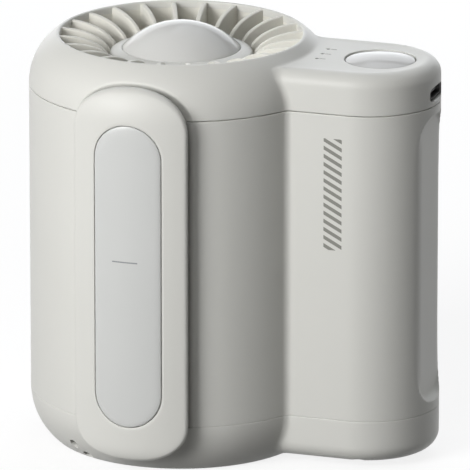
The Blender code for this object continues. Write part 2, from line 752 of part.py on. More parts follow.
def make_top_cover(model, outer, cavity, plastic):
    bottom = UPPER_SEAM + SEAM_GAP / 2
    cover = model.box("top_cover", (-REACH, -REACH, bottom), (REACH, REACH, BODY_H + PAST))
    model.common(cover, outer)
    model.cut(cover, cavity)
    mouth = model.cylinder("mouth", AIRWAY_R, (0, 0, bottom - PAST), (0, 0, BODY_H + PAST), ROUND, True)
    button_hole = model.cylinder("button_hole", BUTTON_R + FIT, (BUTTON_X, 0, DECK_UNDER - PAST),
                                 (BUTTON_X, 0, COLUMN_TOP + PAST), 2 * SMALL_ROUND, True)
    model.cut(cover, mouth, button_hole)
    for number, y in enumerate((-LAMP_PITCH, 0.0, LAMP_PITCH), 1):
        model.cut(cover, model.cylinder(f"lamp_hole_{number}", LAMP_R + FIT, (LAMP_X, y, DECK_UNDER - PAST),
                                        (LAMP_X, y, COLUMN_TOP + PAST), PIN_ROUND, True))
    slot = (SOCKET_H / 2 + FIT) * NEARLY_ROUND
    socket_z = BOARD_TOP + FIT + SOCKET_H / 2
    slot_outline = rounded_box((-SOCKET_HALF_WIDTH - FIT, socket_z - SOCKET_H / 2 - FIT),
                               (SOCKET_HALF_WIDTH + FIT, socket_z + SOCKET_H / 2 + FIT), (slot, slot))
    model.cut(cover, model.flat("socket_slot", [slot_outline], CAVITY_END_X - PAST, COLUMN_END + PAST, "X", True))
    pocket_outline = clip_outline(POCKET_ROOM)
    pocket = model.flat("press_pocket", [pocket_outline], -REACH, WELL_FLOOR_Y + WALL, "Y", True)
    slope = math.atan2(POCKET_SLOPE, CLIP_TOP - UPPER_SEAM)
    floor = [(FACET_Y, UPPER_SEAM - PAST), (FACET_Y, UPPER_SEAM),
             (FACET_Y + (SHOULDER_H + PAST) * math.tan(slope), BODY_H + PAST), (-REACH, BODY_H + PAST),
             (-REACH, UPPER_SEAM - PAST)]
    side = model.flat("pocket_floor", [floor], -CLIP_HALF_WIDTH * 2, CLIP_HALF_WIDTH * 2, "X", True)
    model.common(pocket, side)
    model.cut(cover, pocket)
    for number, sign in enumerate((-1, 1), 1):
        x, y = BOARD_SCREW_X, sign * BOARD_SCREW_Y
        boss = model.cylinder(f"board_boss_{number}", BOARD_BOSS_R, (x, y, BOARD_TOP + FIT),
                              (x, y, DECK_UNDER + WALL / 2), PIN_ROUND, True)
        thread = model.cylinder(f"board_thread_{number}", SCREW_R + FIT, (x, y, BOARD_TOP),
                                (x, y, DECK_UNDER - THREAD_FLOOR_T), PIN_ROUND, True)
        model.join(cover, boss)
        model.cut(cover, thread)
    return finish(cover, plastic)


def make_air_duct(model, plastic):
    bottom = WALL + FIT
    top = BODY_H - WALL - FIT - OUTLET_RING_H - FIT
    profile = [(DUCT_R, top), (DUCT_R, bottom), (AIRWAY_R, bottom), (AIRWAY_R, top)]
    return finish(model.turned("air_duct", profile), plastic)


def make_intake_grille(model, plastic):
    """Spokes from a middle disc to the rim that lies behind the intake's edge."""
    outlines = [circle(0.0, 0.0, AIRWAY_R - FIT, ROUND)]
    half = math.pi / GRILLE_SPOKES
    out_half = half - GRILLE_BAR / 2 / INTAKE_R
    in_half = half - GRILLE_BAR / 2 / GRILLE_CENTRE_R
    for spoke in range(GRILLE_SPOKES):
        middle = math.tau * (spoke + 0.5) / GRILLE_SPOKES
        slot = arc(0.0, 0.0, INTAKE_R, middle - out_half, middle + out_half, SLOT_STEPS)
        slot.append((INTAKE_R * math.cos(middle + out_half), INTAKE_R * math.sin(middle + out_half)))
        slot.append((GRILLE_CENTRE_R * math.cos(middle + in_half), GRILLE_CENTRE_R * math.sin(middle + in_half)))
        slot.append((GRILLE_CENTRE_R * math.cos(middle - in_half), GRILLE_CENTRE_R * math.sin(middle - in_half)))
        outlines.append(slot)
    return finish(model.flat("intake_grille", outlines, WALL + FIT, WALL + FIT + GRILLE_T), plastic)


def make_outlet(model, plastic):
    """The outer ring, the radial vanes and the hub cup that the motor hangs from."""
    ring_top = BODY_H - WALL - FIT
    ring = [(DUCT_R, ring_top), (DUCT_R, ring_top - OUTLET_RING_H),
            (AIRWAY_R, ring_top - OUTLET_RING_H), (AIRWAY_R, ring_top)]
    outlet = model.turned("outlet_vanes", ring)
    rim_r = AIRWAY_R - FIT
    vane_top = BODY_H - VANE_TOP_DROP
    edge = []
    for i in range(VANE_STEPS + 1):
        a = math.pi / 2 * i / VANE_STEPS
        edge.append((rim_r - (rim_r - HUB_R) * math.sin(a), vane_top - VANE_FALL * (1 - math.cos(a))))
    foot = vane_top - VANE_DEPTH
    seated = AIRWAY_R + DUCT_WALL / 2
    side = edge + [(HUB_R - HUB_WALL / 2, edge[-1][1]), (HUB_R - HUB_WALL / 2, foot), (seated, foot),
                   (seated, ring_top - FIT), (rim_r, ring_top - FIT)]
    vane = model.flat("vane", [side], -VANE_T / 2, VANE_T / 2, "Y", True)
    vanes = bmesh.new()
    for number in range(VANE_COUNT):
        turn = Matrix.Rotation(VANE_ANGLE + math.tau * number / VANE_COUNT, 4, "Z")
        before = len(vanes.verts)
        vanes.from_mesh(vane.data)
        vanes.verts.ensure_lookup_table()
        bmesh.ops.transform(vanes, matrix=turn, verts=vanes.verts[before:])
    vanes.to_mesh(vane.data)
    vanes.free()
    model.join(outlet, vane)
    seat = HUB_TOP - CAP_SKIRT
    recess_r = CAP_R + FIT
    floor = HUB_FLOOR_TOP
    cup = [(recess_r, HUB_TOP + HUB_RISE), (HUB_R - HUB_BEVEL, HUB_TOP), (HUB_R, HUB_TOP - HUB_BEVEL),
           (HUB_R, HUB_BOTTOM), (HUB_R - HUB_WALL, HUB_BOTTOM), (HUB_R - HUB_WALL, floor - HUB_FLOOR_T),
           (TUBE_R + FIT, floor - HUB_FLOOR_T), (TUBE_R + FIT, floor),
           (recess_r - HUB_WALL, floor), (recess_r - HUB_WALL, seat), (recess_r, seat)]
    hub = model.turned("hub_cup", cup, cutter=True)
    model.join(outlet, hub)
    lead_z = foot - WIRE_R - FIT
    start, end = recess_r - HUB_WALL - PAST, DUCT_R + PAST
    direction = Vector((math.cos(VANE_ANGLE), math.sin(VANE_ANGLE), 0.0))
    hole = model.cylinder("lead_hole", WIRE_HOLE_R, direction * start + Vector((0, 0, lead_z)),
                          direction * end + Vector((0, 0, lead_z)), PIN_ROUND, True)
    model.cut(outlet, hole)
    finish(outlet, plastic)
    return lead_z, direction


def make_hub_cap(model, plastic):
    """A domed cap whose skirt stands in the hub cup."""
    base = HUB_TOP + HUB_RISE
    radius = (CAP_R ** 2 + CAP_RISE ** 2) / (2 * CAP_RISE)
    centre = base + CAP_RISE - radius
    spread = math.asin(CAP_R / radius)
    inner_r = radius - CAP_T
    inner_spread = math.asin((CAP_R - CAP_T) / inner_r)
    turns = [i / DOME_STEPS for i in range(DOME_STEPS + 1)]
    profile = [(radius * math.sin(spread * t), centre + radius * math.cos(spread * t)) for t in turns]
    foot = HUB_TOP - CAP_SKIRT + FIT
    profile += [(CAP_R, foot), (CAP_R - CAP_T, foot)]
    profile += [(inner_r * math.sin(inner_spread * t), centre + inner_r * math.cos(inner_spread * t))
                for t in reversed(turns)]
    return finish(model.turned("hub_cap", profile), plastic)


def make_motor(model, finishes, rotor):
    steel, copper, magnet, board = (finishes[k] for k in ("steel", "copper", "magnet", "board"))
    floor_under = HUB_FLOOR_TOP - HUB_FLOOR_T
    flange_top = floor_under - FIT
    bore = BEARING_R + FIT
    tube = [(TUBE_R, TUBE_TOP), (TUBE_R, flange_top), (TUBE_FLANGE_R, flange_top),
            (TUBE_FLANGE_R, flange_top - TUBE_FLANGE_T), (TUBE_R, flange_top - TUBE_FLANGE_T),
            (TUBE_R, TUBE_BOTTOM), (bore, TUBE_BOTTOM), (bore, TUBE_TOP)]
    finish(model.turned("bearing_tube", tube, steps=SMALL_ROUND), finishes["brass"])
    for name, top in (("bearing_upper", TUBE_TOP), ("bearing_lower", TUBE_BOTTOM + BEARING_H)):
        ring = [(BEARING_R, top), (BEARING_R, top - BEARING_H),
                (SHAFT_R + RUN_GAP, top - BEARING_H), (SHAFT_R + RUN_GAP, top)]
        finish(model.turned(name, ring, steps=SMALL_ROUND), steel)
    outline = []
    for tooth in range(STATOR_TEETH):
        a = math.tau * tooth / STATOR_TEETH
        for radius, turn in ((STATOR_CORE_R, -TOOTH_ROOT_HALF_ANGLE),
                             (STATOR_R - TOOTH_HEAD, -TOOTH_STEM_HALF_ANGLE),
                             (STATOR_R - TOOTH_HEAD / 2, -TOOTH_HALF_ANGLE),
                             (STATOR_R, -TOOTH_HALF_ANGLE), (STATOR_R, 0.0), (STATOR_R, TOOTH_HALF_ANGLE),
                             (STATOR_R - TOOTH_HEAD / 2, TOOTH_HALF_ANGLE),
                             (STATOR_R - TOOTH_HEAD, TOOTH_STEM_HALF_ANGLE),
                             (STATOR_CORE_R, TOOTH_ROOT_HALF_ANGLE)):
            outline.append((radius * math.cos(a + turn), radius * math.sin(a + turn)))
    stator = model.flat("motor_stator", [outline, circle(0, 0, TUBE_R + FIT)], STATOR_TOP - STATOR_H, STATOR_TOP)
    finish(stator, copper)
    motor_board = model.flat("motor_board", [circle(0, 0, MOTOR_BOARD_R), circle(0, 0, TUBE_R + FIT)],
                             HUB_FLOOR_TOP + FIT, HUB_FLOOR_TOP + FIT + MOTOR_BOARD_T)
    finish(motor_board, board)
    magnet_top, magnet_bottom = STATOR_TOP + MAGNET_OVERLAP, STATOR_TOP - STATOR_H - MAGNET_OVERLAP
    ring = [(MAGNET_IN_R + MAGNET_T, magnet_top), (MAGNET_IN_R + MAGNET_T, magnet_bottom),
            (MAGNET_IN_R, magnet_bottom), (MAGNET_IN_R, magnet_top)]
    finish(model.turned("magnet_ring", ring, steps=SMALL_ROUND * 2), magnet, rotor)
    boss_top = TUBE_BOTTOM - FIT
    bell_top = magnet_top + MAGNET_OVERLAP
    bell = [(BELL_R, bell_top), (BELL_R, BELL_BOTTOM), (SHAFT_R + FIT, BELL_BOTTOM),
            (SHAFT_R + FIT, boss_top), (BELL_BOSS_R, boss_top), (BELL_BOSS_R, BELL_FLOOR_TOP),
            (BELL_IN_R, BELL_FLOOR_TOP), (BELL_IN_R, bell_top)]
    finish(model.turned("rotor_bell", bell, steps=SMALL_ROUND * 2), steel, rotor)
    shaft_top = TUBE_TOP + SHAFT_STAND
    shaft = [(0.0, shaft_top), (SHAFT_R, shaft_top), (SHAFT_R, BELL_BOTTOM), (0.0, BELL_BOTTOM)]
    finish(model.turned("motor_shaft", shaft, steps=SMALL_ROUND), steel, rotor)


def make_impeller(model, plastic, rotor):
    inner_r = BELL_R + FIT
    profile = [(IMPELLER_HUB_R, IMPELLER_TOP)]
    for i in range(NOSE_STEPS + 1):
        a = math.pi / 2 * i / NOSE_STEPS
        profile.append((IMPELLER_HUB_R * math.cos(a) if i < NOSE_STEPS else 0.0,
                        IMPELLER_BOTTOM - NOSE_H * math.sin(a)))
    inside = [(0.0, IMPELLER_FLOOR_TOP), (inner_r, IMPELLER_FLOOR_TOP), (inner_r, IMPELLER_TOP)]
    impeller = model.turned("impeller", inside + profile, steps=SMALL_ROUND * 2)
    tip_r = AIRWAY_R - TIP_GAP
    root_r = IMPELLER_HUB_R - IMPELLER_HUB_WALL / 2
    middle_z = (IMPELLER_TOP + IMPELLER_BOTTOM) / 2
    blades = bmesh.new()
    for number in range(BLADE_COUNT):
        start = math.tau * number / BLADE_COUNT
        rings = []
        for station in range(BLADE_STATIONS + 1):
            share = station / BLADE_STATIONS
            radius = root_r + (tip_r - root_r) * share
            sweep = BLADE_SWEEP * (1 - BLADE_SWEEP_TAPER * share)
            height = BLADE_H * (1 - BLADE_HEIGHT_TAPER * share)
            upper, lower = [], []
            for step in range(CHORD_STEPS + 1):
                along = step / CHORD_STEPS - 0.5
                turn = start + sweep * along
                z = middle_z + height * (along + BLADE_CAMBER * (0.25 - along ** 2))
                half = BLADE_T / 2 / radius * (BLADE_SWELL - abs(along))
                upper.append((radius * math.cos(turn + half), radius * math.sin(turn + half), z))
                lower.append((radius * math.cos(turn - half), radius * math.sin(turn - half), z))
            rings.append([blades.verts.new(point) for point in upper + lower[::-1]])
        count = len(rings[0])
        for here, there in zip(rings, rings[1:]):
            for i in range(count):
                j = (i + 1) % count
                blades.faces.new((here[i], here[j], there[j], there[i]))
        blades.faces.new(rings[0][::-1])
        blades.faces.new(rings[-1])
    bmesh.ops.recalc_face_normals(blades, faces=blades.faces)
    mesh = bpy.data.meshes.new("blades")
    blades.to_mesh(mesh)
    blades.free()
    model.join(impeller, model.object("blades", mesh, True))
    model.settle(impeller)
    return finish(impeller, plastic, rotor)


def make_cells(model, finishes):
    cover, tray_finish, nickel = finishes["wrap"], finishes["dark_plastic"], finishes["steel"]
    for number, (x, y) in enumerate(CELLS, 1):
        cell = model.cylinder(f"battery_cell_{number}", CELL_R, (x, y, CELL_BOTTOM), (x, y, CELL_TOP), CELL_STEPS)
        finish(cell, cover)
    (x1, y1), (x2, y2) = CELLS
    tray_r = CELL_R + CELL_ROOM - FIT - (COLUMN_BOTTOM_EDGE - WALL)
    pull = math.atan2(y2 - y1, x2 - x1)
    tray_bottom = CELL_BOTTOM - 2 * FIT - LINK_T - TRAY_T
    outline = arc(x2, y2, tray_r, pull - math.pi / 2, pull + math.pi / 2, TRAY_STEPS)
    outline += arc(x1, y1, tray_r, pull + math.pi / 2, pull + 1.5 * math.pi, TRAY_STEPS)
    for name, low in (("battery_tray", tray_bottom), ("battery_cap", CELL_TOP + 2 * FIT + LINK_T)):
        finish(model.flat(name, [outline], low, low + TRAY_T), tray_finish)
    half = LINK_HALF_WIDTH
    for name, low in (("cell_link_lower", CELL_BOTTOM - FIT - LINK_T), ("cell_link_upper", CELL_TOP + FIT)):
        strip = arc(x2, y2, half, pull - math.pi / 2, pull + math.pi / 2, LINK_STEPS)
        strip += arc(x1, y1, half, pull + math.pi / 2, pull + 1.5 * math.pi, LINK_STEPS)
        finish(model.flat(name, [strip], low, low + LINK_T), nickel)


def make_electronics(model, finishes, button):
    board_end = CAVITY_END_X - 2 * FIT
    outline = rounded_box((BOARD_START_X, -BOARD_HALF_WIDTH), (board_end, BOARD_HALF_WIDTH),
                          (BOARD_CORNER_R, BOARD_CORNER_R))
    holes = [circle(BOARD_SCREW_X, sign * BOARD_SCREW_Y, SCREW_R + FIT, PIN_ROUND) for sign in (-1, 1)]
    board = model.flat("control_board", [outline] + holes, BOARD_BOTTOM, BOARD_TOP)
    board_r = COLUMN_R - WALL - 2 * FIT
    side = BOARD_HALF_WIDTH + PAST
    limit = [(BOARD_START_X - PAST, -side), (COLUMN_X, -side)]
    limit += [p for p in arc(COLUMN_X, 0.0, board_r, -math.pi / 2, math.pi / 2, BOARD_ARC_STEPS)
              if abs(p[1]) < BOARD_HALF_WIDTH]
    limit += [(COLUMN_X, side), (BOARD_START_X - PAST, side)]
    board_limit = model.flat("board_limit", [limit], BOARD_BOTTOM - PAST, BOARD_TOP + PAST, "Z", True)
    model.common(board, board_limit)
    finish(board, finishes["board"])

    front = COLUMN_END - SOCKET_SET_BACK
    back = front - SOCKET_LENGTH
    low = BOARD_TOP + FIT
    middle = low + SOCKET_H / 2
    corner = SOCKET_H / 2 * NEARLY_ROUND
    shell = rounded_box((-SOCKET_HALF_WIDTH, low), (SOCKET_HALF_WIDTH, low + SOCKET_H), (corner, corner))
    hollow = rounded_box((-SOCKET_HALF_WIDTH + SOCKET_SKIN, low + SOCKET_SKIN),
                         (SOCKET_HALF_WIDTH - SOCKET_SKIN, low + SOCKET_H - SOCKET_SKIN),
                         (corner - SOCKET_SKIN, corner - SOCKET_SKIN))
    socket = model.flat("usb_socket", [shell], back, front, "X")
    model.cut(socket, model.flat("socket_hollow", [hollow], back + SOCKET_BACK_T, front + PAST, "X", True))
    tongue = model.box("socket_tongue", (back + SOCKET_BACK_T / 2, -TONGUE_HALF_WIDTH, middle - TONGUE_T / 2),
                       (front - TONGUE_SET_BACK, TONGUE_HALF_WIDTH, middle + TONGUE_T / 2), True)
    model.join(socket, tongue)
    finish(socket, finishes["steel"])

    switch_top = BOARD_TOP + FIT + SWITCH_H
    switch = model.box("tact_switch", (BUTTON_X - SWITCH_HALF, -SWITCH_HALF, BOARD_TOP + FIT),
                       (BUTTON_X + SWITCH_HALF, SWITCH_HALF, switch_top))
    bore_floor = BOARD_TOP + FIT + SWITCH_FLOOR_T
    model.cut(switch, model.cylinder("plunger_bore", PLUNGER_R + FIT, (BUTTON_X, 0, bore_floor),
                                     (BUTTON_X, 0, switch_top + PAST), SMALL_ROUND, True))
    finish(switch, finishes["dark_plastic"])
    plunger_low = bore_floor + BUTTON_TRAVEL + FIT
    plunger_high = switch_top + BUTTON_TRAVEL + FIT
    plunger = model.cylinder("switch_plunger", PLUNGER_R, (BUTTON_X, 0, plunger_low), (BUTTON_X, 0, plunger_high))
    finish(plunger, finishes["dark_plastic"], button)

    dome_r = BUTTON_R
    rise = BUTTON_RISE + BUTTON_EDGE_DROP
    sphere = (dome_r ** 2 + rise ** 2) / (2 * rise)
    edge_z = COLUMN_TOP - BUTTON_EDGE_DROP
    spread = math.asin(dome_r / sphere)
    turns = [spread * i / BUTTON_STEPS for i in range(BUTTON_STEPS + 1)]
    dome = [(sphere * math.sin(t), edge_z + rise - sphere + sphere * math.cos(t)) for t in turns]
    flange_top = DECK_UNDER - FIT
    flange_low = flange_top - BUTTON_FLANGE_T
    under = edge_z - BUTTON_SKIN
    profile = dome + [(dome_r, flange_top), (dome_r + BUTTON_FLANGE, flange_top),
                      (dome_r + BUTTON_FLANGE, flange_low), (dome_r - BUTTON_SKIN, flange_low),
                      (dome_r - BUTTON_SKIN, under), (BUTTON_STEM_R, under),
                      (BUTTON_STEM_R, plunger_high + FIT), (0.0, plunger_high + FIT)]
    cap = model.turned("power_button", profile, place=(BUTTON_X, 0.0), steps=2 * SMALL_ROUND)
    finish(cap, finishes["gloss"], button)

    bar_top = DECK_UNDER - FIT
    bar_low = bar_top - LAMP_BAR_T
    guide = model.box("light_guide", (LAMP_X - LAMP_BAR_HALF, -LAMP_PITCH - LAMP_BAR_HALF, bar_low),
                      (LAMP_X + LAMP_BAR_HALF, LAMP_PITCH + LAMP_BAR_HALF, bar_top))
    for number, y in enumerate((-LAMP_PITCH, 0.0, LAMP_PITCH), 1):
        led_top = BOARD_TOP + FIT + LED_H
        led = model.box(f"indicator_led_{number}", (LAMP_X - LED_HALF, y - LED_HALF, BOARD_TOP + FIT),
                        (LAMP_X + LED_HALF, y + LED_HALF, led_top))
        finish(led, finishes["lamp"])
        prong = model.cylinder(f"light_prong_{number}", LAMP_R, (LAMP_X, y, led_top + FIT),
                               (LAMP_X, y, COLUMN_TOP), PIN_ROUND, True)
        model.join(guide, prong)
    finish(guide, finishes["clear"])


def make_clip(model, finishes, clip):
    """The sprung plate: a shell round the body's wall, bent in at both ends."""
    bent = CLIP_TOP + PAST - UPPER_SEAM
    heights = [UPPER_SEAM + bent * (1 - i / CLIP_STEPS) for i in range(CLIP_STEPS + 1)]
    outer = [(main_radius(z) + CLIP_GAP + CLIP_T, z) for z in heights]
    inner = [(main_radius(z) + CLIP_GAP, z) for z in reversed(heights)]
    lip_top = CLIP_BOTTOM + CLIP_LIP_H
    lip_in = main_radius(lip_top) + FIT
    foot = [(CLIP_OUTER_R, lip_top), (CLIP_OUTER_R - CLIP_LIP_BEVEL, CLIP_BOTTOM + CLIP_LIP_ROUND),
            (CLIP_OUTER_R - CLIP_LIP_ROUND, CLIP_BOTTOM), (lip_in, CLIP_BOTTOM), (lip_in, lip_top),
            (CLIP_INNER_R, lip_top + CLIP_LIP_H / 2)]
    lever = model.turned("clip_lever", outer + foot + inner)
    model.common(lever, model.flat("clip_face", [clip_outline(0.0)], -2 * BODY_R, -BODY_R / 2, "Y", True))
    panel = [stadium(INLAY_HALF_WIDTH, INLAY_BOTTOM, INLAY_TOP)]
    recess_floor = CLIP_OUTER_R - INLAY_T - FIT
    sleeve = [(REACH, BODY_H), (REACH, 0.0), (recess_floor, 0.0), (recess_floor, BODY_H)]
    panel_seat = model.turned("inlay_seat", sleeve, cutter=True)
    model.common(panel_seat, model.flat("inlay_seat_outline", panel, -1.5 * REACH, -BODY_R / 2, "Y", True))
    model.cut(lever, panel_seat)
    ear_x = EAR_INNER_X + EAR_T + 2 * FIT
    for side in (-1, 1):
        ear_low, ear_high = sorted((side * ear_x, side * (ear_x + EAR_T)))
        root_y = -(CLIP_INNER_R + CLIP_T / 3)
        ear = model.flat(f"clip_ear_{'left' if side < 0 else 'right'}",
                         [ear_outline(PIN_R + FIT + EAR_WALL, root_y)], ear_low, ear_high, "X", True)
        model.join(lever, ear)
    pin_end = ear_x + EAR_T + FIT
    hole = model.cylinder("clip_pin_hole", PIN_R + FIT, (-pin_end - PAST, PIVOT_Y, PIVOT_Z),
                          (pin_end + PAST, PIVOT_Y, PIVOT_Z), PIN_ROUND, True)
    model.cut(lever, hole)
    finish(lever, finishes["plastic"], clip)

    film = [(CLIP_OUTER_R, BODY_H), (CLIP_OUTER_R, 0.0), (CLIP_OUTER_R - INLAY_T, 0.0),
            (CLIP_OUTER_R - INLAY_T, BODY_H)]
    inlay = model.turned("clip_inlay", film)
    face = stadium(INLAY_HALF_WIDTH - FIT, INLAY_BOTTOM + FIT, INLAY_TOP - FIT)
    model.common(inlay, model.flat("inlay_outline", [face], -1.5 * REACH, -BODY_R / 2, "Y", True))
    finish(inlay, finishes["inlay"], clip)

    pin = model.cylinder("clip_pin", PIN_R, (-pin_end, PIVOT_Y, PIVOT_Z), (pin_end, PIVOT_Y, PIVOT_Z), PIN_ROUND)
    finish(pin, finishes["steel"])
    make_spring(model, finishes["steel"])


def stadium(half_width, low, high):
    corner = half_width * NEARLY_ROUND
    return rounded_box((-half_width, low), (half_width, high), (corner, corner), STADIUM_STEPS)


def make_spring(model, steel):
    """A torsion coil round the pin: one leg on the well's floor, one on the plate."""
    length = 2 * (EAR_INNER_X - FIT - SPRING_WIRE_R)
    steps = SPRING_TURNS * SPRING_STEPS + SPRING_STEPS // 2
    start = math.pi
    floor_y = WELL_FLOOR_Y - FIT - SPRING_WIRE_R
    plate_y = -math.sqrt(CLIP_INNER_R ** 2 - (length / 2) ** 2) + FIT + SPRING_WIRE_R
    points = [(-length / 2, plate_y, PIVOT_Z + SPRING_LEG), (-length / 2, plate_y, PIVOT_Z + SPRING_LEG / 2)]
    for i in range(steps + 1):
        turn = start + math.tau * i / SPRING_STEPS
        x = -length / 2 + length * i / steps
        points.append((x, PIVOT_Y + SPRING_MEAN_R * math.cos(turn), PIVOT_Z + SPRING_MEAN_R * math.sin(turn)))
    points += [(length / 2, floor_y, PIVOT_Z + SPRING_LEG / 2), (length / 2, floor_y, PIVOT_Z + SPRING_LEG)]
    finish(model.wire("clip_spring", points, SPRING_WIRE_R), steel)


def make_screws(model, steel):
    for number, (x, y) in enumerate(screw_places(), 1):
        seat = LOWER_SEAM - SEAM_GAP / 2 - COVER_SCREW_SEAT - FIT
        tip = LOWER_SEAM + SEAM_GAP / 2 + BOSS_H - THREAD_FLOOR_T - SCREW_TIP_ROOM
        profile = [(0.0, tip), (SCREW_R, tip - SCREW_R), (SCREW_R, seat), (SCREW_HEAD_R, seat),
                   (SCREW_HEAD_R, seat - SCREW_HEAD_H), (0.0, seat - SCREW_HEAD_H)]
        finish(model.turned(f"cover_screw_{number}", profile, place=(x, y), steps=PIN_ROUND), steel)
    for number, sign in enumerate((-1, 1), 1):
        seat = BOARD_BOTTOM - FIT
        tip = DECK_UNDER - THREAD_FLOOR_T - SCREW_TIP_ROOM
        profile = [(0.0, tip), (SCREW_R, tip - SCREW_R), (SCREW_R, seat), (SCREW_HEAD_R, seat),
                   (SCREW_HEAD_R, seat - SCREW_HEAD_H), (0.0, seat - SCREW_HEAD_H)]
        place = (BOARD_SCREW_X, sign * BOARD_SCREW_Y)
        finish(model.turned(f"board_screw_{number}", profile, place=place, steps=PIN_ROUND), steel)


def make_wires(model, finishes, lead_z, direction):
    """The motor's lead along a vane's foot, and the two leads from the cells."""
    start = direction * (MOTOR_BOARD_R - LEAD_BOARD_INSET)
    board_top = HUB_FLOOR_TOP + FIT + MOTOR_BOARD_T
    out_x = DUCT_R + LEAD_DUCT_GAP
    y = direction.y * out_x / direction.x
    bend = WIRE_BEND
    points = [(start.x, start.y, board_top + FIT), (start.x, start.y, lead_z - bend),
              (start.x + bend * 0.3, start.y, lead_z - bend * 0.3), (start.x + bend, start.y * 1.1, lead_z)]
    for radius in (HUB_R - LEAD_HUB_INSET, AIRWAY_R, DUCT_R):
        points.append(tuple(direction * (radius + bend / 2) + Vector((0, 0, lead_z))))
    points += [(out_x + bend, y, lead_z + bend * 0.4), (BOARD_START_X + bend, y, lead_z + 2 * bend),
               (BOARD_START_X + bend, y, BOARD_BOTTOM - FIT)]
    finish(model.wire("motor_lead", points, WIRE_R), finishes["dark_plastic"])
    for number, (x, y) in enumerate(CELLS, 1):
        low = CELL_TOP + 3 * FIT + LINK_T + TRAY_T
        name = "battery_lead_red" if number == 1 else "battery_lead_black"
        route = [(x, y, low), (x, y, low + CELL_LEAD_RISE), (x + CELL_LEAD_JOG, y, low + CELL_LEAD_JOG_END),
                 (x + CELL_LEAD_JOG, y, BOARD_BOTTOM - FIT)]
        finish(model.wire(name, route, WIRE_R), finishes["red"] if number == 1 else finishes["dark_plastic"])


def build():
    clear_scene()
    model = Model()
    finishes = {
        "plastic": material("shell_plastic", (0.62, 0.61, 0.57), 0.45),
        "vane": material("vane_plastic", (0.66, 0.64, 0.56), 0.5),
        "gloss": material("gloss_plastic", (0.78, 0.78, 0.77), 0.15),
        "cap": material("cap_plastic", (0.66, 0.66, 0.68), 0.25),
        "inlay": material("inlay_film", (0.58, 0.59, 0.58), 0.3),
        "inner": material("inner_plastic", (0.50, 0.49, 0.45), 0.55),
        "dark_plastic": material("dark_plastic", (0.03, 0.03, 0.03), 0.5),
        "clear": material("light_guide_plastic", (0.75, 0.78, 0.80), 0.1),
        "lamp": material("lamp_body", (0.85, 0.85, 0.75), 0.3),
        "steel": material("steel", (0.55, 0.55, 0.56), 0.3, 1.0),
        "brass": material("brass", (0.72, 0.56, 0.28), 0.3, 1.0),
        "copper": material("copper_winding", (0.60, 0.28, 0.12), 0.4, 1.0),
        "magnet": material("magnet_ferrite", (0.06, 0.06, 0.06), 0.6),
        "board": material("circuit_board", (0.03, 0.16, 0.07), 0.4),
        "wrap": material("cell_wrap", (0.05, 0.16, 0.35), 0.35),
        "red": material("red_insulation", (0.55, 0.03, 0.02), 0.4),
    }
    rotor = model.empty("rotor_axis", model.axis, (0.0, 0.0, BELL_BOTTOM))
    button = model.empty("button_axis", model.axis, (BUTTON_X, 0.0, COLUMN_TOP))
    clip = model.empty("clip_axis", model.axis, (0.0, PIVOT_Y, PIVOT_Z))
    bpy.context.view_layer.update()
    outer, cavity = body_forms(model)
    make_bottom_cover(model, outer, cavity, finishes["plastic"])
    make_housing(model, outer, cavity, finishes["plastic"])
    make_top_cover(model, outer, cavity, finishes["plastic"])
    make_air_duct(model, finishes["inner"])
    make_intake_grille(model, finishes["inner"])
    lead_z, direction = make_outlet(model, finishes["vane"])
    make_hub_cap(model, finishes["cap"])
    make_motor(model, finishes, rotor)
    make_impeller(model, finishes["inner"], rotor)
    make_cells(model, finishes)
    make_electronics(model, finishes, button)
    make_clip(model, finishes, clip)
    make_screws(model, finishes["steel"])
    make_wires(model, finishes, lead_z, direction)


build()
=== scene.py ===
"""Looks of a clip-on waist fan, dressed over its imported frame.

Lengths are in millimetres on the fan's own axes, with the shaft line as Z and the battery
column towards +X. at() turns such a place into the frame's metres.
"""

import math

import bmesh
import bpy
from mathutils import Matrix, Vector


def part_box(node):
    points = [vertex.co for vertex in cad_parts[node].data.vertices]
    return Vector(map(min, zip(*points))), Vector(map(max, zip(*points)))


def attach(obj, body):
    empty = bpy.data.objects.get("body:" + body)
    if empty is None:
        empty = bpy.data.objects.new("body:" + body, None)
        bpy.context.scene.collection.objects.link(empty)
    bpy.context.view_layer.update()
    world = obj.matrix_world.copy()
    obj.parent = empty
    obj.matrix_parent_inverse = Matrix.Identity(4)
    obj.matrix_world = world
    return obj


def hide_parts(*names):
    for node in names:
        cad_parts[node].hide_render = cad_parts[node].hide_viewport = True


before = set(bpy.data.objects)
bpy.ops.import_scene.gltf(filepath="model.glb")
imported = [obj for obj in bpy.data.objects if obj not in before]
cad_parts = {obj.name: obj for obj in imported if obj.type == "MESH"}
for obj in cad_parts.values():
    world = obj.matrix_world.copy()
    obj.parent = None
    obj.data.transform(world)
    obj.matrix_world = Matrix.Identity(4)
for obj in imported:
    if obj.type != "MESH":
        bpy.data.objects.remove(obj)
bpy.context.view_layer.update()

MM = 0.001
QUARTER = math.pi / 2
CASING, ROTOR, BUTTON, CLIP = "casing", "rotor", "button", "clip"

# Round body
BODY_R = 42.1
BODY_H = 115.4
AIRWAY_R = 33.6
DUCT_R = 34.8
WALL = 2.0
UPPER_SEAM = 101.4
LOWER_SEAM = 14.3
SEAM_HALF = 0.11
LOWER_SEAM_HALF = 0.03
SEAM_EDGE = 0.16
BASE_SEAM_EDGE = 0.24
SHOULDER = (14.0, 7.7)
BASE = (14.3, 6.9)
INTAKE_R = 28.5
SPOKE_COUNT = 16
SPOKE_ROOT_R = 9.0
SPOKE_T = 1.6
FIT = 0.3
CAVITY_BACK_Y = -36.2
PROFILE_TOP = BODY_H - 0.5
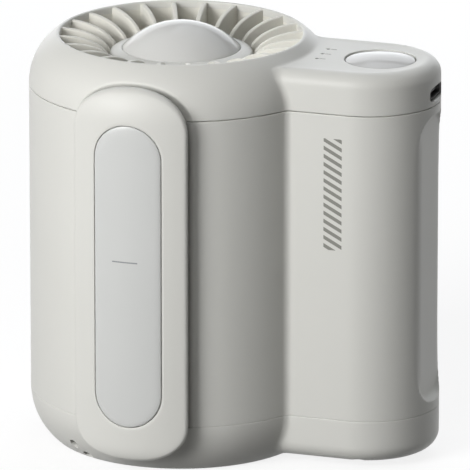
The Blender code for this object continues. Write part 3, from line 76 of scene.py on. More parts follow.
# The outlet's rounded rim, as places past the airway's radius and below the top
RIM = ((1.33, 0.32), (1.12, 0.16), (0.85, 0.05), (0.6, 0.0), (0.38, 0.01), (0.18, 0.1),
       (0.05, 0.26), (0.0, 0.5), (0.0, 1.0), (0.0, 1.8), (0.0, 2.0), (1.5, 2.0))
# The foot from its outer edge to the intake's mouth, as radii and heights
FOOT = ((35.32, 0.3), (35.1, 0.14), (34.8, 0.04), (34.4, 0.0), (33.0, 0.0),
        (INTAKE_R + 0.8, 0.0), (INTAKE_R + 0.4, 0.04), (INTAKE_R + 0.12, 0.18),
        (INTAKE_R, 0.42), (INTAKE_R, 1.7), (INTAKE_R + 0.1, 1.9), (INTAKE_R + 0.3, 2.0),
        (DUCT_R + FIT, WALL))

# Battery column
COLUMN_X = 54.428
COLUMN_R = 19.8
CAVITY_END = 70.428
COLUMN_BOTTOM = 1.9
COLUMN_TOP = 112.8
TOP_EDGE = 4.0
BOTTOM_EDGE = 4.8
JUNCTION_FILLET = 2.6
DECK_FILLET = 2.0
DECK_STEP_X = 37.0
DECK_STEP_REACH = 6.0
# How far the deck's last rings draw in, and how far each then sinks
DECK_STEPS = ((0.5, 0.03), (1.2, 0.12), (1.9, 0.17))
RECESS_FLOOR = 71.928
RECESS_HALF_WIDTH = 9.3
RECESS_Z = (16.8, 98.9)
RECESS_CORNER = 5.6
RECESS_SCOOP = 2.3
RECESS_CURVE = 0.45
RECESS_BLEND = (0.25, 1.2)
RECESS_BLEND_REACH = 6.0

# Cover screws: two by the round wall and one beside the cells
SCREW_INSET = WALL + 2.4 - FIT / 3
SCREW_ANGLES = (math.radians(75.0), math.radians(180.0))
CELL_SCREW_X = COLUMN_X + 2.5
SCREW_SEAT_Z = 9.35
BOSS_R = 2.35
SCREW_WELL_R = 2.0
SCREW_BORE_R = 1.2

# Button, lamps and socket
BUTTON_X = 57.628
BUTTON_R = 9.6
BUTTON_TOP = 113.5
BUTTON_EDGE_Z = 112.45
LAMP_X = 41.0
LAMP_PITCH = 5.1
LAMP_R = 0.55
SOCKET_Z = 105.05
SOCKET_HALF_WIDTH = 4.5
SOCKET_HALF_HEIGHT = 1.55
SOCKET_FRONT = 73.43
SOCKET_LENGTH = 7.4
SLOT_Z = 104.75
SLOT_HALF = (5.2, 1.95)
SLOT_CORNER = 1.6
# How far the slot flares at places along X, from inside the wall to past it
SLOT_FLARE = ((69.0, 0.3), (73.0, 0.3), (73.1, 0.0), (73.7, 0.0), (73.85, 0.04), (74.0, 0.14),
              (74.3, 0.45))

# Outlet
VANE_COUNT = 24
VANE_T = 1.4
VANE_ANGLE = math.radians(7.45)
VANE_TOP = 115.0
VANE_FALL = 7.6
VANE_FOOT = 96.0
HUB_R = 19.7
HUB_TOP = 110.4
HUB_BOTTOM = 86.9
HUB_FLOOR = 91.4
RING_TOP = 113.37
RING_BOTTOM = 92.1
CAP_R = 16.3
CAP_TOP = 118.3
CAP_BASE = 111.2

# Impeller
IMPELLER_R = 19.4
IMPELLER_TOP = 85.3
IMPELLER_BOTTOM = 64.7
NOSE_H = 11.0
BLADE_COUNT = 7
BLADE_TIP_R = 32.8
BELL_R = 16.9

# Belt clip
CLIP_GAP = 1.1
CLIP_T = 3.3
CLIP_INNER_R = BODY_R + CLIP_GAP
CLIP_OUTER_R = CLIP_INNER_R + CLIP_T
CLIP_HALF_WIDTH = 16.7
CLIP_Z = (4.8, 110.6)
CLIP_TOP_END = 12.2
CLIP_BOTTOM_END = 11.0
CLIP_END_POWER = 2.2
CLIP_EDGE = 1.15
CLIP_BACK_EDGE = 1.1
LIP_H = 4.5
LIP_ROUND = 2.0
FACET_Y = -38.8
WELL_FLOOR_Y = -37.0
PIVOT = (-39.9, 96.0)
EAR_X = 6.8
EAR_T = 2.0
CASE_EAR_R = 1.9
CLIP_EAR_R = 2.2
PIN_HOLE_R = 1.3
PANEL_HALF_WIDTH = 9.75
PANEL_Z = (14.8, 100.9)
PANEL_T = 0.6
PANEL_RISE = 0.2
PANEL_PILLOW = 1.6
PANEL_TOP_FALL = 1.6
GROOVE = 0.22
PANEL_MIDDLE = (PANEL_Z[0] + PANEL_HALF_WIDTH, PANEL_Z[1] - PANEL_HALF_WIDTH)
PLATE_MIDDLE = (CLIP_Z[0] + CLIP_BOTTOM_END, CLIP_Z[1] - CLIP_TOP_END)

# Facets
MAIN_STEPS = 176
END_STEPS = 80
FILLET_STEPS = 10
WALL_STEPS = 4
TURN_STEPS = 128
ROD_STEPS = 32
CORNER_STEPS = 12
CLIP_SIDE_STEPS = 24
CLIP_END_STEPS = 40

SHAFT = sum(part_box("motor_shaft"), Vector()) / 2 / MM
SHAFT.z = 0.0


def at(x, y, z):
    return (Vector((x, y, z)) + SHAFT) * MM


def local(x, y, z):
    """A place on a piece that a tree copies about the shaft."""
    return Vector((x, y, z)) * MM


def arc(x, y, radius, start, end, steps, last=False):
    """Points along an arc, the end left out unless last is set."""
    turns = [start + (end - start) * i / steps for i in range(steps + last)]
    return [(x + radius * math.cos(t), y + radius * math.sin(t)) for t in turns]


def smooth(share):
    share = min(max(share, 0.0), 1.0)
    return share * share * (3 - 2 * share)


def quarter(steps):
    return [QUARTER * i / steps for i in range(steps + 1)]


def bow_radius(height, inset):
    """The radius of an arc that leaves its tangent by inset over height."""
    return (height ** 2 + inset ** 2) / (2 * inset)


def bow(height, inset, distance):
    """How far a wall that bows in by inset over height has come in at a distance."""
    radius = bow_radius(height, inset)
    return radius - math.sqrt(radius ** 2 - distance ** 2)


def bow_slope(height, inset, distance):
    """How fast such a wall comes in at a distance."""
    return distance / math.sqrt(bow_radius(height, inset) ** 2 - distance ** 2)


def crown(edge_r, base, top, inset, steps):
    """A round crown's profile from its pole, as far as inset short of its edge."""
    radius = bow_radius(edge_r, top - base)
    spread = math.asin((edge_r - inset) / radius)
    turns = [spread * i / steps for i in range(steps + 1)]
    return [(radius * math.sin(t), top - radius + radius * math.cos(t)) for t in turns]


def main_radius(z):
    if z > UPPER_SEAM:
        return BODY_R - bow(*SHOULDER, z - UPPER_SEAM)
    if z < LOWER_SEAM:
        return BODY_R - bow(*BASE, LOWER_SEAM - z)
    return BODY_R


# Meshes

def placed(name, data):
    """An object in the scene for a mesh, a lamp or a camera."""
    made = bpy.data.objects.new(name, data)
    bpy.context.scene.collection.objects.link(made)
    return made


def piece_from(name, shape):
    mesh = bpy.data.meshes.new(name)
    shape.to_mesh(mesh)
    shape.free()
    return placed(name, mesh)


def skin(name, rings, loop=False, origin=at):
    """A closed skin through rings of equal counts, from the first to the last.

    With loop the last ring joins the first. Otherwise both get a cap, and a ring that
    has shrunk to a line or a point needs none."""
    shape = bmesh.new()
    rows = [[shape.verts.new(origin(*point)) for point in ring] for ring in rings]
    pairs = list(zip(rows, rows[1:]))
    if loop:
        pairs.append((rows[-1], rows[0]))
    count = len(rows[0])
    for here, there in pairs:
        for i in range(count):
            j = (i + 1) % count
            shape.faces.new((here[i], here[j], there[j], there[i]))
    if not loop:
        for row in (rows[0], rows[-1]):
            spread = max((vert.co - row[0].co).length for vert in row)
            middle = row[count // 2].co
            flat = all(abs((vert.co - middle).x) < 1e-6 for vert in row)
            if spread > 1e-6 and not (flat and folded(row)):
                shape.faces.new(row)
    bmesh.ops.remove_doubles(shape, verts=shape.verts, dist=0.0004 * MM)
    bmesh.ops.recalc_face_normals(shape, faces=shape.faces)
    return piece_from(name, shape)


def folded(row):
    """Whether a ring has shrunk to a line that it runs up and down."""
    places = {tuple(round(value * 1e6) for value in vert.co) for vert in row}
    return len(places) <= len(row) // 2 + 2


def turned(name, profile, centre=(0.0, 0.0), steps=TURN_STEPS):
    """A profile of (radius, height) turned about a vertical line."""
    on_axis = profile[0][0] == 0.0 and profile[-1][0] == 0.0
    rings = [[(x, y, z) for x, y in arc(*centre, radius, 0.0, math.tau, steps)]
             for radius, z in profile]
    return skin(name, rings, loop=not on_axis)


def block(name, low, high):
    corners = [(low[0], low[1]), (high[0], low[1]), (high[0], high[1]), (low[0], high[1])]
    return skin(name, [[(x, y, z) for x, y in corners] for z in (low[2], high[2])])


def rod(name, radius, start, end):
    start, end = Vector(start), Vector(end)
    turn = Vector((0, 0, 1)).rotation_difference(end - start).to_matrix()
    circle = [turn @ Vector((x, y, 0.0)) for x, y in arc(0, 0, radius, 0, math.tau, ROD_STEPS)]
    return skin(name, [[foot + point for point in circle] for foot in (start, end)])


def rounded(half_width, half_height, corner):
    """A rounded rectangle about the origin, from its lower right corner."""
    x, y = half_width - corner, half_height - corner
    points = []
    for i, centre in enumerate(((x, -y), (x, y), (-x, y), (-x, -y))):
        points += arc(*centre, corner, (i - 1) * QUARTER, i * QUARTER, CORNER_STEPS, True)
    return points


def settle(piece):
    """Replaces a piece's modifiers by the mesh that they give."""
    bpy.context.view_layer.update()
    graph = bpy.context.evaluated_depsgraph_get()
    mesh = bpy.data.meshes.new_from_object(piece.evaluated_get(graph))
    piece.modifiers.clear()
    piece.data = mesh
    return piece


def carve(piece, *tools, operation="DIFFERENCE"):
    for tool in tools:
        change = piece.modifiers.new(tool.name, "BOOLEAN")
        change.operation = operation
        change.solver = "EXACT"
        change.object = tool
    settle(piece)
    for tool in tools:
        bpy.data.objects.remove(tool, do_unlink=True)
    return piece


def dress(piece, body, finish, *nodes, slot=None, sharp=32.0):
    """Gives a piece its finish and smooth faces, and seats it on a body for CAD nodes."""
    piece.data.materials.clear()
    piece.data.materials.append(finish)
    piece.data.shade_smooth()
    piece.data.set_sharp_from_angle(angle=math.radians(sharp))
    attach(piece, body)
    if nodes:
        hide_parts(*nodes)
    return piece


# Nodes

def add_node(tree, kind, values=None, **settings):
    """A new node's outputs. Its settings are set first, then its sockets' values or links."""
    made = tree.nodes.new(kind)
    for key, value in settings.items():
        setattr(made, key, value)
    for key, value in (values or {}).items():
        for item in value if isinstance(value, list) else [value]:
            if isinstance(item, bpy.types.NodeSocket):
                tree.links.new(item, made.inputs[key])
            else:
                made.inputs[key].default_value = item
    return made.outputs


class Tree:
    """A Geometry Nodes tree with named inputs."""

    def __init__(self, name, sockets):
        self.tree = bpy.data.node_groups.new(name, "GeometryNodeTree")
        face = self.tree.interface
        face.new_socket("Geometry", in_out="INPUT", socket_type="NodeSocketGeometry")
        for label, kind in sockets:
            face.new_socket(label, in_out="INPUT", socket_type="NodeSocket" + kind)
        face.new_socket("Geometry", in_out="OUTPUT", socket_type="NodeSocketGeometry")
        self.given = self.tree.nodes.new("NodeGroupInput").outputs

    def node(self, kind, values=None, **settings):
        return add_node(self.tree, kind, values, **settings)[0]

    def end(self, geometry):
        """Realizes the copies, gives them their finish and closes the tree."""
        real = self.node("GeometryNodeRealizeInstances", {0: geometry})
        done = self.node("GeometryNodeSetMaterial",
                         {"Geometry": real, "Material": self.given["Finish"]})
        add_node(self.tree, "NodeGroupOutput", {0: done})
        return self.tree


def copies_tree():
    """Copies a piece by a step, a turn about Z, or both."""
    tree = Tree("copies", [("Count", "Int"), ("Step", "Vector"), ("Start", "Float"),
                           ("Turn", "Float"), ("Centre", "Vector"), ("Finish", "Material")])
    given = tree.given
    index = tree.node("GeometryNodeInputIndex")
    place = tree.node("ShaderNodeVectorMath", {0: given["Step"], "Scale": index}, operation="SCALE")
    turn = tree.node("ShaderNodeMath", {0: index, 1: given["Turn"], 2: given["Start"]},
                     operation="MULTIPLY_ADD")
    spin = tree.node("ShaderNodeCombineXYZ", {"Z": turn})
    points = tree.node("GeometryNodePoints", {"Count": given["Count"], "Position": place})
    copies = tree.node("GeometryNodeInstanceOnPoints",
                       {"Points": points, "Instance": given["Geometry"], "Rotation": spin})
    return tree.end(tree.node("GeometryNodeTransform",
                              {"Geometry": copies, "Translation": given["Centre"]}))


def screws_tree():
    """A cross-head screw, head down, on each of the given points."""
    tree = Tree("screws", [("Head radius", "Float"), ("Head height", "Float"),
                           ("Shank radius", "Float"), ("Shank length", "Float"),
                           ("Slot width", "Float"), ("Finish", "Material")])
    given = tree.given

    def times(name, share):
        return tree.node("ShaderNodeMath", {0: given[name], 1: share}, operation="MULTIPLY")

    def cylinder(name, facets, length):
        return tree.node("GeometryNodeMeshCylinder", {"Vertices": facets, "Depth": given[length],
                                                      "Radius": given[name]})

    def raised(geometry, length, share):
        way = tree.node("ShaderNodeCombineXYZ", {"Z": times(length, share)})
        return tree.node("GeometryNodeTransform", {"Geometry": geometry, "Translation": way})

    def cut(operation, values):
        return tree.node("GeometryNodeMeshBoolean", values, operation=operation, solver="EXACT")

    slots = []
    for long_side, short_side in (("X", "Y"), ("Y", "X")):
        size = tree.node("ShaderNodeCombineXYZ", {long_side: times("Head radius", 1.3),
                                                  short_side: given["Slot width"],
                                                  "Z": times("Head height", 1.0)})
        slots.append(tree.node("GeometryNodeMeshCube", {"Size": size}))
    cross = raised(cut("UNION", {"Mesh 2": slots}), "Head height", -0.5)
    head = cylinder("Head radius", 40, "Head height")
    head = raised(cut("DIFFERENCE", {"Mesh 1": head, "Mesh 2": cross}), "Head height", -0.5)
    shank = raised(cylinder("Shank radius", 24, "Shank length"), "Shank length", 0.5)
    screw = tree.node("GeometryNodeJoinGeometry", {0: [head, shank]})
    return tree.end(tree.node("GeometryNodeInstanceOnPoints",
                              {"Points": given["Geometry"], "Instance": screw}))


def grow(piece, tree, finish, **values):
    """Runs a tree on a piece. A name's underscore stands for a space in its input."""
    change = piece.modifiers.new(tree.name, "NODES")
    change.node_group = tree
    wanted = {key.replace("_", " "): value for key, value in values.items()}
    wanted["Finish"] = finish
    for item in tree.interface.items_tree:
        if item.in_out == "INPUT" and item.name in wanted:
            change[item.identifier] = wanted[item.name]
    return settle(piece)


# Finishes

class Wire:
    """A shader value that takes part in Python arithmetic."""

    def __init__(self, finish, socket):
        self.finish = finish
        self.socket = socket

    def math(self, operation, first, second):
        return self.finish.node("ShaderNodeMath", {0: first, 1: second}, operation=operation)[0]

    def __add__(self, other):
        return self.math("ADD", self, other)

    def __mul__(self, other):
        return self.math("MULTIPLY", self, other)

    def __lt__(self, other):
        return self.math("LESS_THAN", self, other)

    __radd__ = __add__
    __rmul__ = __mul__


class Finish:
    """A Principled material, with methods for the patterns that feed it."""

    def __init__(self, name, **constants):
        self.material = bpy.data.materials.new(name)
        self.material.use_nodes = True
        self.tree = self.material.node_tree
        self.shader = self.tree.nodes["Principled BSDF"]
        for key, value in constants.items():
            self.shader.inputs[key.replace("_", " ")].default_value = value
        self.place = self.node("ShaderNodeTexCoord")["Object"]

    def node(self, kind, values=None, **settings):
        """A node's outputs as wires, by name and by number."""
        sockets = {key: value.socket if isinstance(value, Wire) else value
                   for key, value in (values or {}).items()}
        outputs = {}
        for i, out in enumerate(add_node(self.tree, kind, sockets, **settings)):
            outputs[i] = outputs[out.name] = Wire(self, out)
        return outputs

    def noise(self, scale, detail, roughness=0.5, stretch=1.0):
        """Noise in space, pressed into level lines by a stretch over 1."""
        place = self.place
        if stretch != 1.0:
            place = self.node("ShaderNodeMapping",
                              {"Vector": place, "Scale": (1.0, 1.0, stretch)})[0]
        return self.node("ShaderNodeTexNoise", {"Vector": place, "Scale": scale, "Detail": detail,
                                                "Roughness": roughness})[0]

    def blend(self, share, first, second):
        return self.node("ShaderNodeMix", {0: share, 6: (*first, 1.0), 7: (*second, 1.0)},
                         data_type="RGBA")[2]

    def feed(self, name, value):
        self.tree.links.new(value.socket, self.shader.inputs[name])

    def bump(self, height, strength, depth):
        normal = self.node("ShaderNodeBump", {"Strength": strength, "Distance": depth * MM,
                                              "Height": height})[0]
        self.feed("Normal", normal)


def moulded(name, dark, light, roughness, grain=0.25, spread=0.05, **constants):
    """Moulded plastic: faint clouds in its colour and sheen, and a fine spark texture."""
    made = Finish(name, **constants)
    clouds = made.noise(26.0, 3.0)
    grains = made.noise(2600.0, 2.0, 0.6)
    made.feed("Base Color", made.blend(clouds * 0.8 + grains * 0.2, dark, light))
    made.feed("Roughness", made.noise(45.0, 2.0) * spread + (roughness - spread / 2))
    made.bump(grains, grain, 0.006)
    return made.material


def metal(name, dark, light, roughness, stretch=12.0):
    """Bright metal with fine drawn lines."""
    made = Finish(name, Metallic=1.0)
    lines = made.noise(900.0, 3.0, 0.6, stretch)
    made.feed("Base Color", made.blend(lines, dark, light))
    made.feed("Roughness", lines * 0.16 + (roughness - 0.08))
    made.bump(lines, 0.2, 0.01)
    return made.material


def film(name, dark, light, roughness):
    """Smooth skin or print with a faint unevenness."""
    made = Finish(name)
    clouds = made.noise(60.0, 3.0)
    made.feed("Base Color", made.blend(clouds, dark, light))
    made.feed("Roughness", clouds * 0.06 + (roughness - 0.03))
    made.bump(made.noise(400.0, 1.0), 0.08, 0.01)
    return made.material


def circuit():
    """Solder mask over faint tracks."""
    made = Finish("board_mask")
    tracks = made.node("ShaderNodeTexVoronoi", {"Vector": made.place, "Scale": 420.0},
                       feature="DISTANCE_TO_EDGE")["Distance"] < 0.08
    made.feed("Base Color", made.blend(tracks, (0.012, 0.10, 0.035), (0.02, 0.19, 0.06)))
    made.bump(tracks, 0.3, 0.02)
    made.feed("Roughness", tracks * 0.1 + 0.3)
    return made.material


def winding():
    """Enamelled copper turns."""
    made = Finish("copper_winding", Metallic=1.0)
    wave = made.node("ShaderNodeTexWave", {"Vector": made.place, "Scale": 620.0, "Distortion": 0.4},
                     bands_direction="Z")["Fac"]
    made.feed("Base Color", made.blend(wave, (0.30, 0.10, 0.03), (0.72, 0.32, 0.12)))
    made.feed("Roughness", wave * 0.2 + 0.25)
    made.bump(wave, 0.6, 0.1)
    return made.material


DULL = {"Specular IOR Level": 0.25}
POLISHED = {"grain": 0.02, "spread": 0.01, "Specular IOR Level": 0.065}
SHELL = moulded("shell_satin", (0.66, 0.657, 0.62), (0.69, 0.687, 0.65), 0.40, **DULL)
VANES = moulded("vane_satin", (0.725, 0.712, 0.65), (0.76, 0.747, 0.685), 0.45, **DULL)
COLLAR = moulded("collar_satin", (0.62, 0.615, 0.575), (0.65, 0.645, 0.605), 0.40)
DOME = moulded("dome_gloss", (0.675, 0.673, 0.652), (0.70, 0.698, 0.677), 0.05, **POLISHED)
BUTTON_GLOSS = moulded("button_gloss", (0.625, 0.622, 0.61), (0.65, 0.647, 0.635), 0.05, **POLISHED)
PANEL = film("panel_film", (0.585, 0.592, 0.578), (0.608, 0.615, 0.60), 0.30)
INNER = moulded("inner_mould", (0.50, 0.49, 0.44), (0.55, 0.54, 0.48), 0.50)
BLACK = moulded("black_mould", (0.018, 0.018, 0.018), (0.03, 0.03, 0.03), 0.45)
INK = film("printed_ink", (0.205, 0.205, 0.18), (0.235, 0.235, 0.21), 0.55)
LINE_INK = film("panel_ink", (0.24, 0.255, 0.26), (0.28, 0.295, 0.30), 0.50)
# Near-black prong tops: painted shade, standing in for the dark of the three small holes in the
# deck.
PAINTED_SHADE_LENS = film("lamp_lens_painted_shade", (0.10, 0.10, 0.095), (0.14, 0.14, 0.13), 0.25)
LAMP_BODY = film("lamp_body", (0.75, 0.75, 0.62), (0.85, 0.85, 0.72), 0.30)
STEEL = metal("plated_steel", (0.48, 0.48, 0.49), (0.62, 0.62, 0.63), 0.30)
BRASS = metal("turned_brass", (0.62, 0.46, 0.20), (0.78, 0.60, 0.30), 0.28, stretch=30.0)
# The socket's shell is near-black: painted shade, standing in for the deep shadow inside the slot.
SOCKET_STEEL_PAINTED_SHADE = metal("socket_steel_painted_shade", (0.035, 0.035, 0.035), (0.06, 0.06, 0.058), 0.45)
GOLD = metal("gold_contact", (0.78, 0.56, 0.22), (0.88, 0.66, 0.30), 0.25)
FERRITE = moulded("ferrite", (0.04, 0.04, 0.042), (0.07, 0.07, 0.07), 0.60)
COPPER = winding()
BOARD = circuit()
WRAP = film("cell_wrap", (0.035, 0.13, 0.30), (0.05, 0.17, 0.38), 0.32)
RED = film("red_insulation", (0.45, 0.02, 0.015), (0.55, 0.035, 0.025), 0.40)

COPIES = copies_tree()
SCREWS = screws_tree()


# Body shells

def body_ring(main_r, inset, z, column=True, swell=0.0, back=None):
    """The body's outline at one height, its column's wall standing in by inset.

    Without the column its points lie on the round body, grown by swell between the
    junctions. With back it is the cavity's ring, which that flat and the end wall cut."""
    column_r = COLUMN_R - inset
    fillet = JUNCTION_FILLET + inset
    side = column_r + fillet
    fillet_x = math.sqrt((main_r + fillet) ** 2 - side ** 2)
    tangent = math.atan2(side, fillet_x)
    points = arc(0, 0, main_r, tangent, math.tau - tangent, MAIN_STEPS)
    straight = [fillet_x + (COLUMN_X - fillet_x) * i / WALL_STEPS for i in range(WALL_STEPS)]
    bend = arc(fillet_x, -side, fillet, math.pi - tangent, QUARTER, FILLET_STEPS)
    bend += [(x, -column_r) for x in straight]
    bend += arc(COLUMN_X, 0, column_r, -QUARTER, QUARTER, END_STEPS)
    bend += [(COLUMN_X + fillet_x - x, column_r) for x in straight]
    bend += arc(fillet_x, side, fillet, -QUARTER, tangent - math.pi, FILLET_STEPS)
    if not column:
        turns = [math.atan2(y, x) for x, y in bend]
        radii = [main_r + swell * smooth((tangent - abs(t)) / 0.10) for t in turns]
        bend = [(r * math.cos(t), r * math.sin(t)) for r, t in zip(radii, turns)]
    points += bend
    if back is not None:
        points = [(min(x, CAVITY_END), max(y, back)) for x, y in points]
    return [(x, y, z) for x, y in points]


def seam_rings(z, towards, edge=SEAM_EDGE):
    """The outer wall's small round edge beside a seam, from the seam's face onwards."""
    rings = []
    for turn in quarter(3):
        drop = edge * (1 - math.sin(turn))
        height = z + towards * edge * (1 - math.cos(turn))
        rings.append(body_ring(main_radius(height) - drop, drop, height))
    height = z + towards * 3 * edge
    rings.append(body_ring(main_radius(height), 0.0, height))
    return rings


def edge_rings(start, edge_z, edge, steps):
    """The outer wall from start to an edge and round it. A negative edge is a lower one."""
    rings = []
    for i in range(1, steps):
        z = start + (edge_z - start) * i / steps
        rings.append(body_ring(main_radius(z), 0.0, z))
    for turn in quarter(12):
        z = edge_z + edge * math.sin(turn)
        rings.append(body_ring(main_radius(z), abs(edge) * (1 - math.cos(turn)), z))
    return rings


def make_top_shell():
    low = UPPER_SEAM + SEAM_HALF
    rings = seam_rings(low, 1) + edge_rings(low + 0.6, COLUMN_TOP - TOP_EDGE, TOP_EDGE, 8)
    rings += [deck_step(rings[-1], draw, sink) for draw, sink in DECK_STEPS]
    deck_r = main_radius(COLUMN_TOP)
    bend = QUARTER - math.atan(bow_slope(*SHOULDER, COLUMN_TOP - UPPER_SEAM))
    reach = DECK_FILLET * math.tan(bend / 2)
    for i in range(7):
        turn = bend * i / 6
        radius = deck_r + reach - DECK_FILLET * math.sin(turn)
        z = COLUMN_TOP + DECK_FILLET * (1 - math.cos(turn))
        rings.append(body_ring(main_radius(z), TOP_EDGE, z, False, radius - main_radius(z)))
    fillet_top = COLUMN_TOP + DECK_FILLET * (1 - math.cos(bend))
    for i in range(1, 5):
        z = min(fillet_top + (BODY_H - COLUMN_TOP - 1.3) * i / 4, PROFILE_TOP)
        rings.append(body_ring(main_radius(z), TOP_EDGE, z, False))
    rings += [body_ring(AIRWAY_R + past, TOP_EDGE, BODY_H - below, False) for past, below in RIM]
    under = COLUMN_TOP - WALL
    rings.append(body_ring(main_radius(under) - WALL, TOP_EDGE, under, False, back=CAVITY_BACK_Y))
    for turn in reversed(quarter(5)):
        z = under - TOP_EDGE / 2 * (1 - math.sin(turn))
        inset = WALL + TOP_EDGE / 2 * (1 - math.cos(turn))
        rings.append(body_ring(main_radius(z) - WALL, inset, z, back=CAVITY_BACK_Y))
    for z in (105.0, low):
        rings.append(body_ring(main_radius(z) - WALL, WALL, z, back=CAVITY_BACK_Y))
    shell = skin("top_shell", rings, loop=True)

    floor, above = COLUMN_TOP - 4.8, COLUMN_TOP + 0.5
    hole = [(0.0, floor), (BUTTON_R + FIT, floor), (BUTTON_R + FIT, COLUMN_TOP - 0.35),
            (BUTTON_R + 0.37, COLUMN_TOP - 0.14), (BUTTON_R + 0.52, COLUMN_TOP),
            (BUTTON_R + 1.0, above), (0.0, above)]
    tools = [turned("button_hole", hole, (BUTTON_X, 0.0))]
    for number, y in enumerate((-LAMP_PITCH, 0.0, LAMP_PITCH), 1):
        low, high = (LAMP_X, y, COLUMN_TOP - 2.8), (LAMP_X, y, COLUMN_TOP + 0.8)
        tools.append(rod(f"lamp_hole_{number}", LAMP_R + 0.1, low, high))
    slot = []
    half_width, half = SLOT_HALF
    for x, flare in SLOT_FLARE:
        outline = rounded(half_width + flare, half + flare, SLOT_CORNER + flare)
        slot.append([(x, y, SLOT_Z + z) for y, z in outline])
    tools.append(skin("socket_slot", slot))
    tools.append(press_pocket())
    return dress(carve(shell, *tools), CASING, SHELL, "top_cover", slot="shell")


def deck_step(ring, draw, sink):
    """A ring drawn in and lowered where it runs along the column, its other points kept."""
    points = []
    for x, y, z in ring:
        share = smooth((x - DECK_STEP_X) / DECK_STEP_REACH)
        way = Vector((max(x - COLUMN_X, 0.0), y)).normalized() * draw * share
        points.append((x - way.x, y - way.y, z - sink * share))
    return points


def press_pocket():
    """The hollow that the clip's top end sinks into, dished about the clip's outline."""
    width, fall, reach = 0.9, 0.8, 1.6

    def ring(grown, depth):
        points = []
        for x, z in clip_outline(grown):
            floor = FACET_Y + 0.2 * (z - UPPER_SEAM)
            wall = -math.sqrt(main_radius(min(z, PROFILE_TOP)) ** 2 - x ** 2)
            points.append((x, min(wall + depth, floor), z))
        return points

    rings = [[(x, -70.0, z) for x, z in clip_outline(width + 0.4)], ring(width + 0.4, -0.4)]
    sink = fall * width / 2
    rings += [ring(width * (1 - i / 8), sink * (i / 8) ** 2) for i in range(9)]
    rings += [ring(-reach * i / 4, sink + 1.15 * reach * i / 4) for i in range(1, 5)]
    rings.append(ring(-reach, 9.0))
    return skin("press_pocket", rings)


def recessed(ring):
    """A ring with its column's end taken back to the recess, which blends into the wall at
    its sides and has a scooped end above and below."""
    points = []
    for x, y, z in ring:
        past = min(max(abs(y) - (RECESS_HALF_WIDTH - RECESS_CORNER), 0.0), RECESS_CORNER)
        corner = RECESS_CORNER - math.sqrt(RECESS_CORNER ** 2 - past ** 2)
        inside = min(z - RECESS_Z[0], RECESS_Z[1] - z) - corner
        floor = RECESS_FLOOR + RECESS_CURVE * max(RECESS_SCOOP - inside, 0.0) ** 2
        tight, wide = RECESS_BLEND
        blend = tight + (wide - tight) * smooth(inside / RECESS_BLEND_REACH)
        overlap = max(blend - abs(x - floor), 0.0)
        points.append((min(x, floor) - overlap ** 2 / (4 * blend), y, z))
    return points


def make_main_shell():
    low, high = LOWER_SEAM + LOWER_SEAM_HALF, UPPER_SEAM - SEAM_HALF
    rings = seam_rings(low, 1, 0.03)
    ends = RECESS_CORNER + RECESS_SCOOP + 1.0
    rises = [RECESS_Z[0] - 0.6 + ends * i / 28 for i in range(29)]
    rises += [rises[-1] + (sum(RECESS_Z) - 2 * rises[-1]) * i / 6 for i in range(1, 6)]
    rises += [sum(RECESS_Z) - z for z in reversed(rises[:29])]
    rings += [recessed(body_ring(BODY_R, 0.0, z)) for z in rises]
    rings += reversed(seam_rings(high, -1))
    for z in (high, low):
        rings.append(body_ring(BODY_R - WALL, WALL, z, back=WELL_FLOOR_Y))
    shell = skin("main_shell", rings, loop=True)

    well_x = EAR_X + 2 * EAR_T + FIT + 2.0
    pivot_z = PIVOT[1]
    pad = block("well_pad", (-well_x - 2, FACET_Y + 0.9, pivot_z - 6.2),
                (well_x + 2, WELL_FLOOR_Y + 1.9, pivot_z + 5.2))
    carve(shell, pad, operation="UNION")
    facet = block("clip_facet", (-60, -80, -10), (60, FACET_Y, 130))
    well = block("hinge_well", (-well_x, -80, pivot_z - 4.2), (well_x, WELL_FLOOR_Y, pivot_z + 4.2))
    carve(shell, facet, well)
    add_ears(shell, "housing_ear", EAR_X, CASE_EAR_R, WELL_FLOOR_Y + 0.9)
    carve(shell, rod("pin_hole", PIN_HOLE_R, (-well_x, *PIVOT), (well_x, *PIVOT)))
    return dress(shell, CASING, SHELL, "main_housing", slot="shell")


def add_ears(piece, name, ear_x, radius, root_y):
    """Joins two hinge ears to a piece: a round nose about the pin and a straight root."""
    pivot_y, pivot_z = PIVOT
    facing = math.pi if root_y > pivot_y else 0.0
    outline = arc(pivot_y, pivot_z, radius, facing - QUARTER, facing + QUARTER, 20, True)
    outline += [(root_y, outline[-1][1]), (root_y, outline[0][1])]
    ears = []
    for side in (-1, 1):
        faces = (side * ear_x, side * (ear_x + EAR_T))
        ears.append(skin(f"{name}_{side}", [[(x, y, z) for y, z in outline] for x in faces]))
    carve(piece, *ears, operation="UNION")


def screw_places():
    radius = BODY_R - SCREW_INSET
    places = [(radius * math.cos(turn), radius * math.sin(turn)) for turn in SCREW_ANGLES]
    return places + [(CELL_SCREW_X, SCREW_INSET - COLUMN_R)]


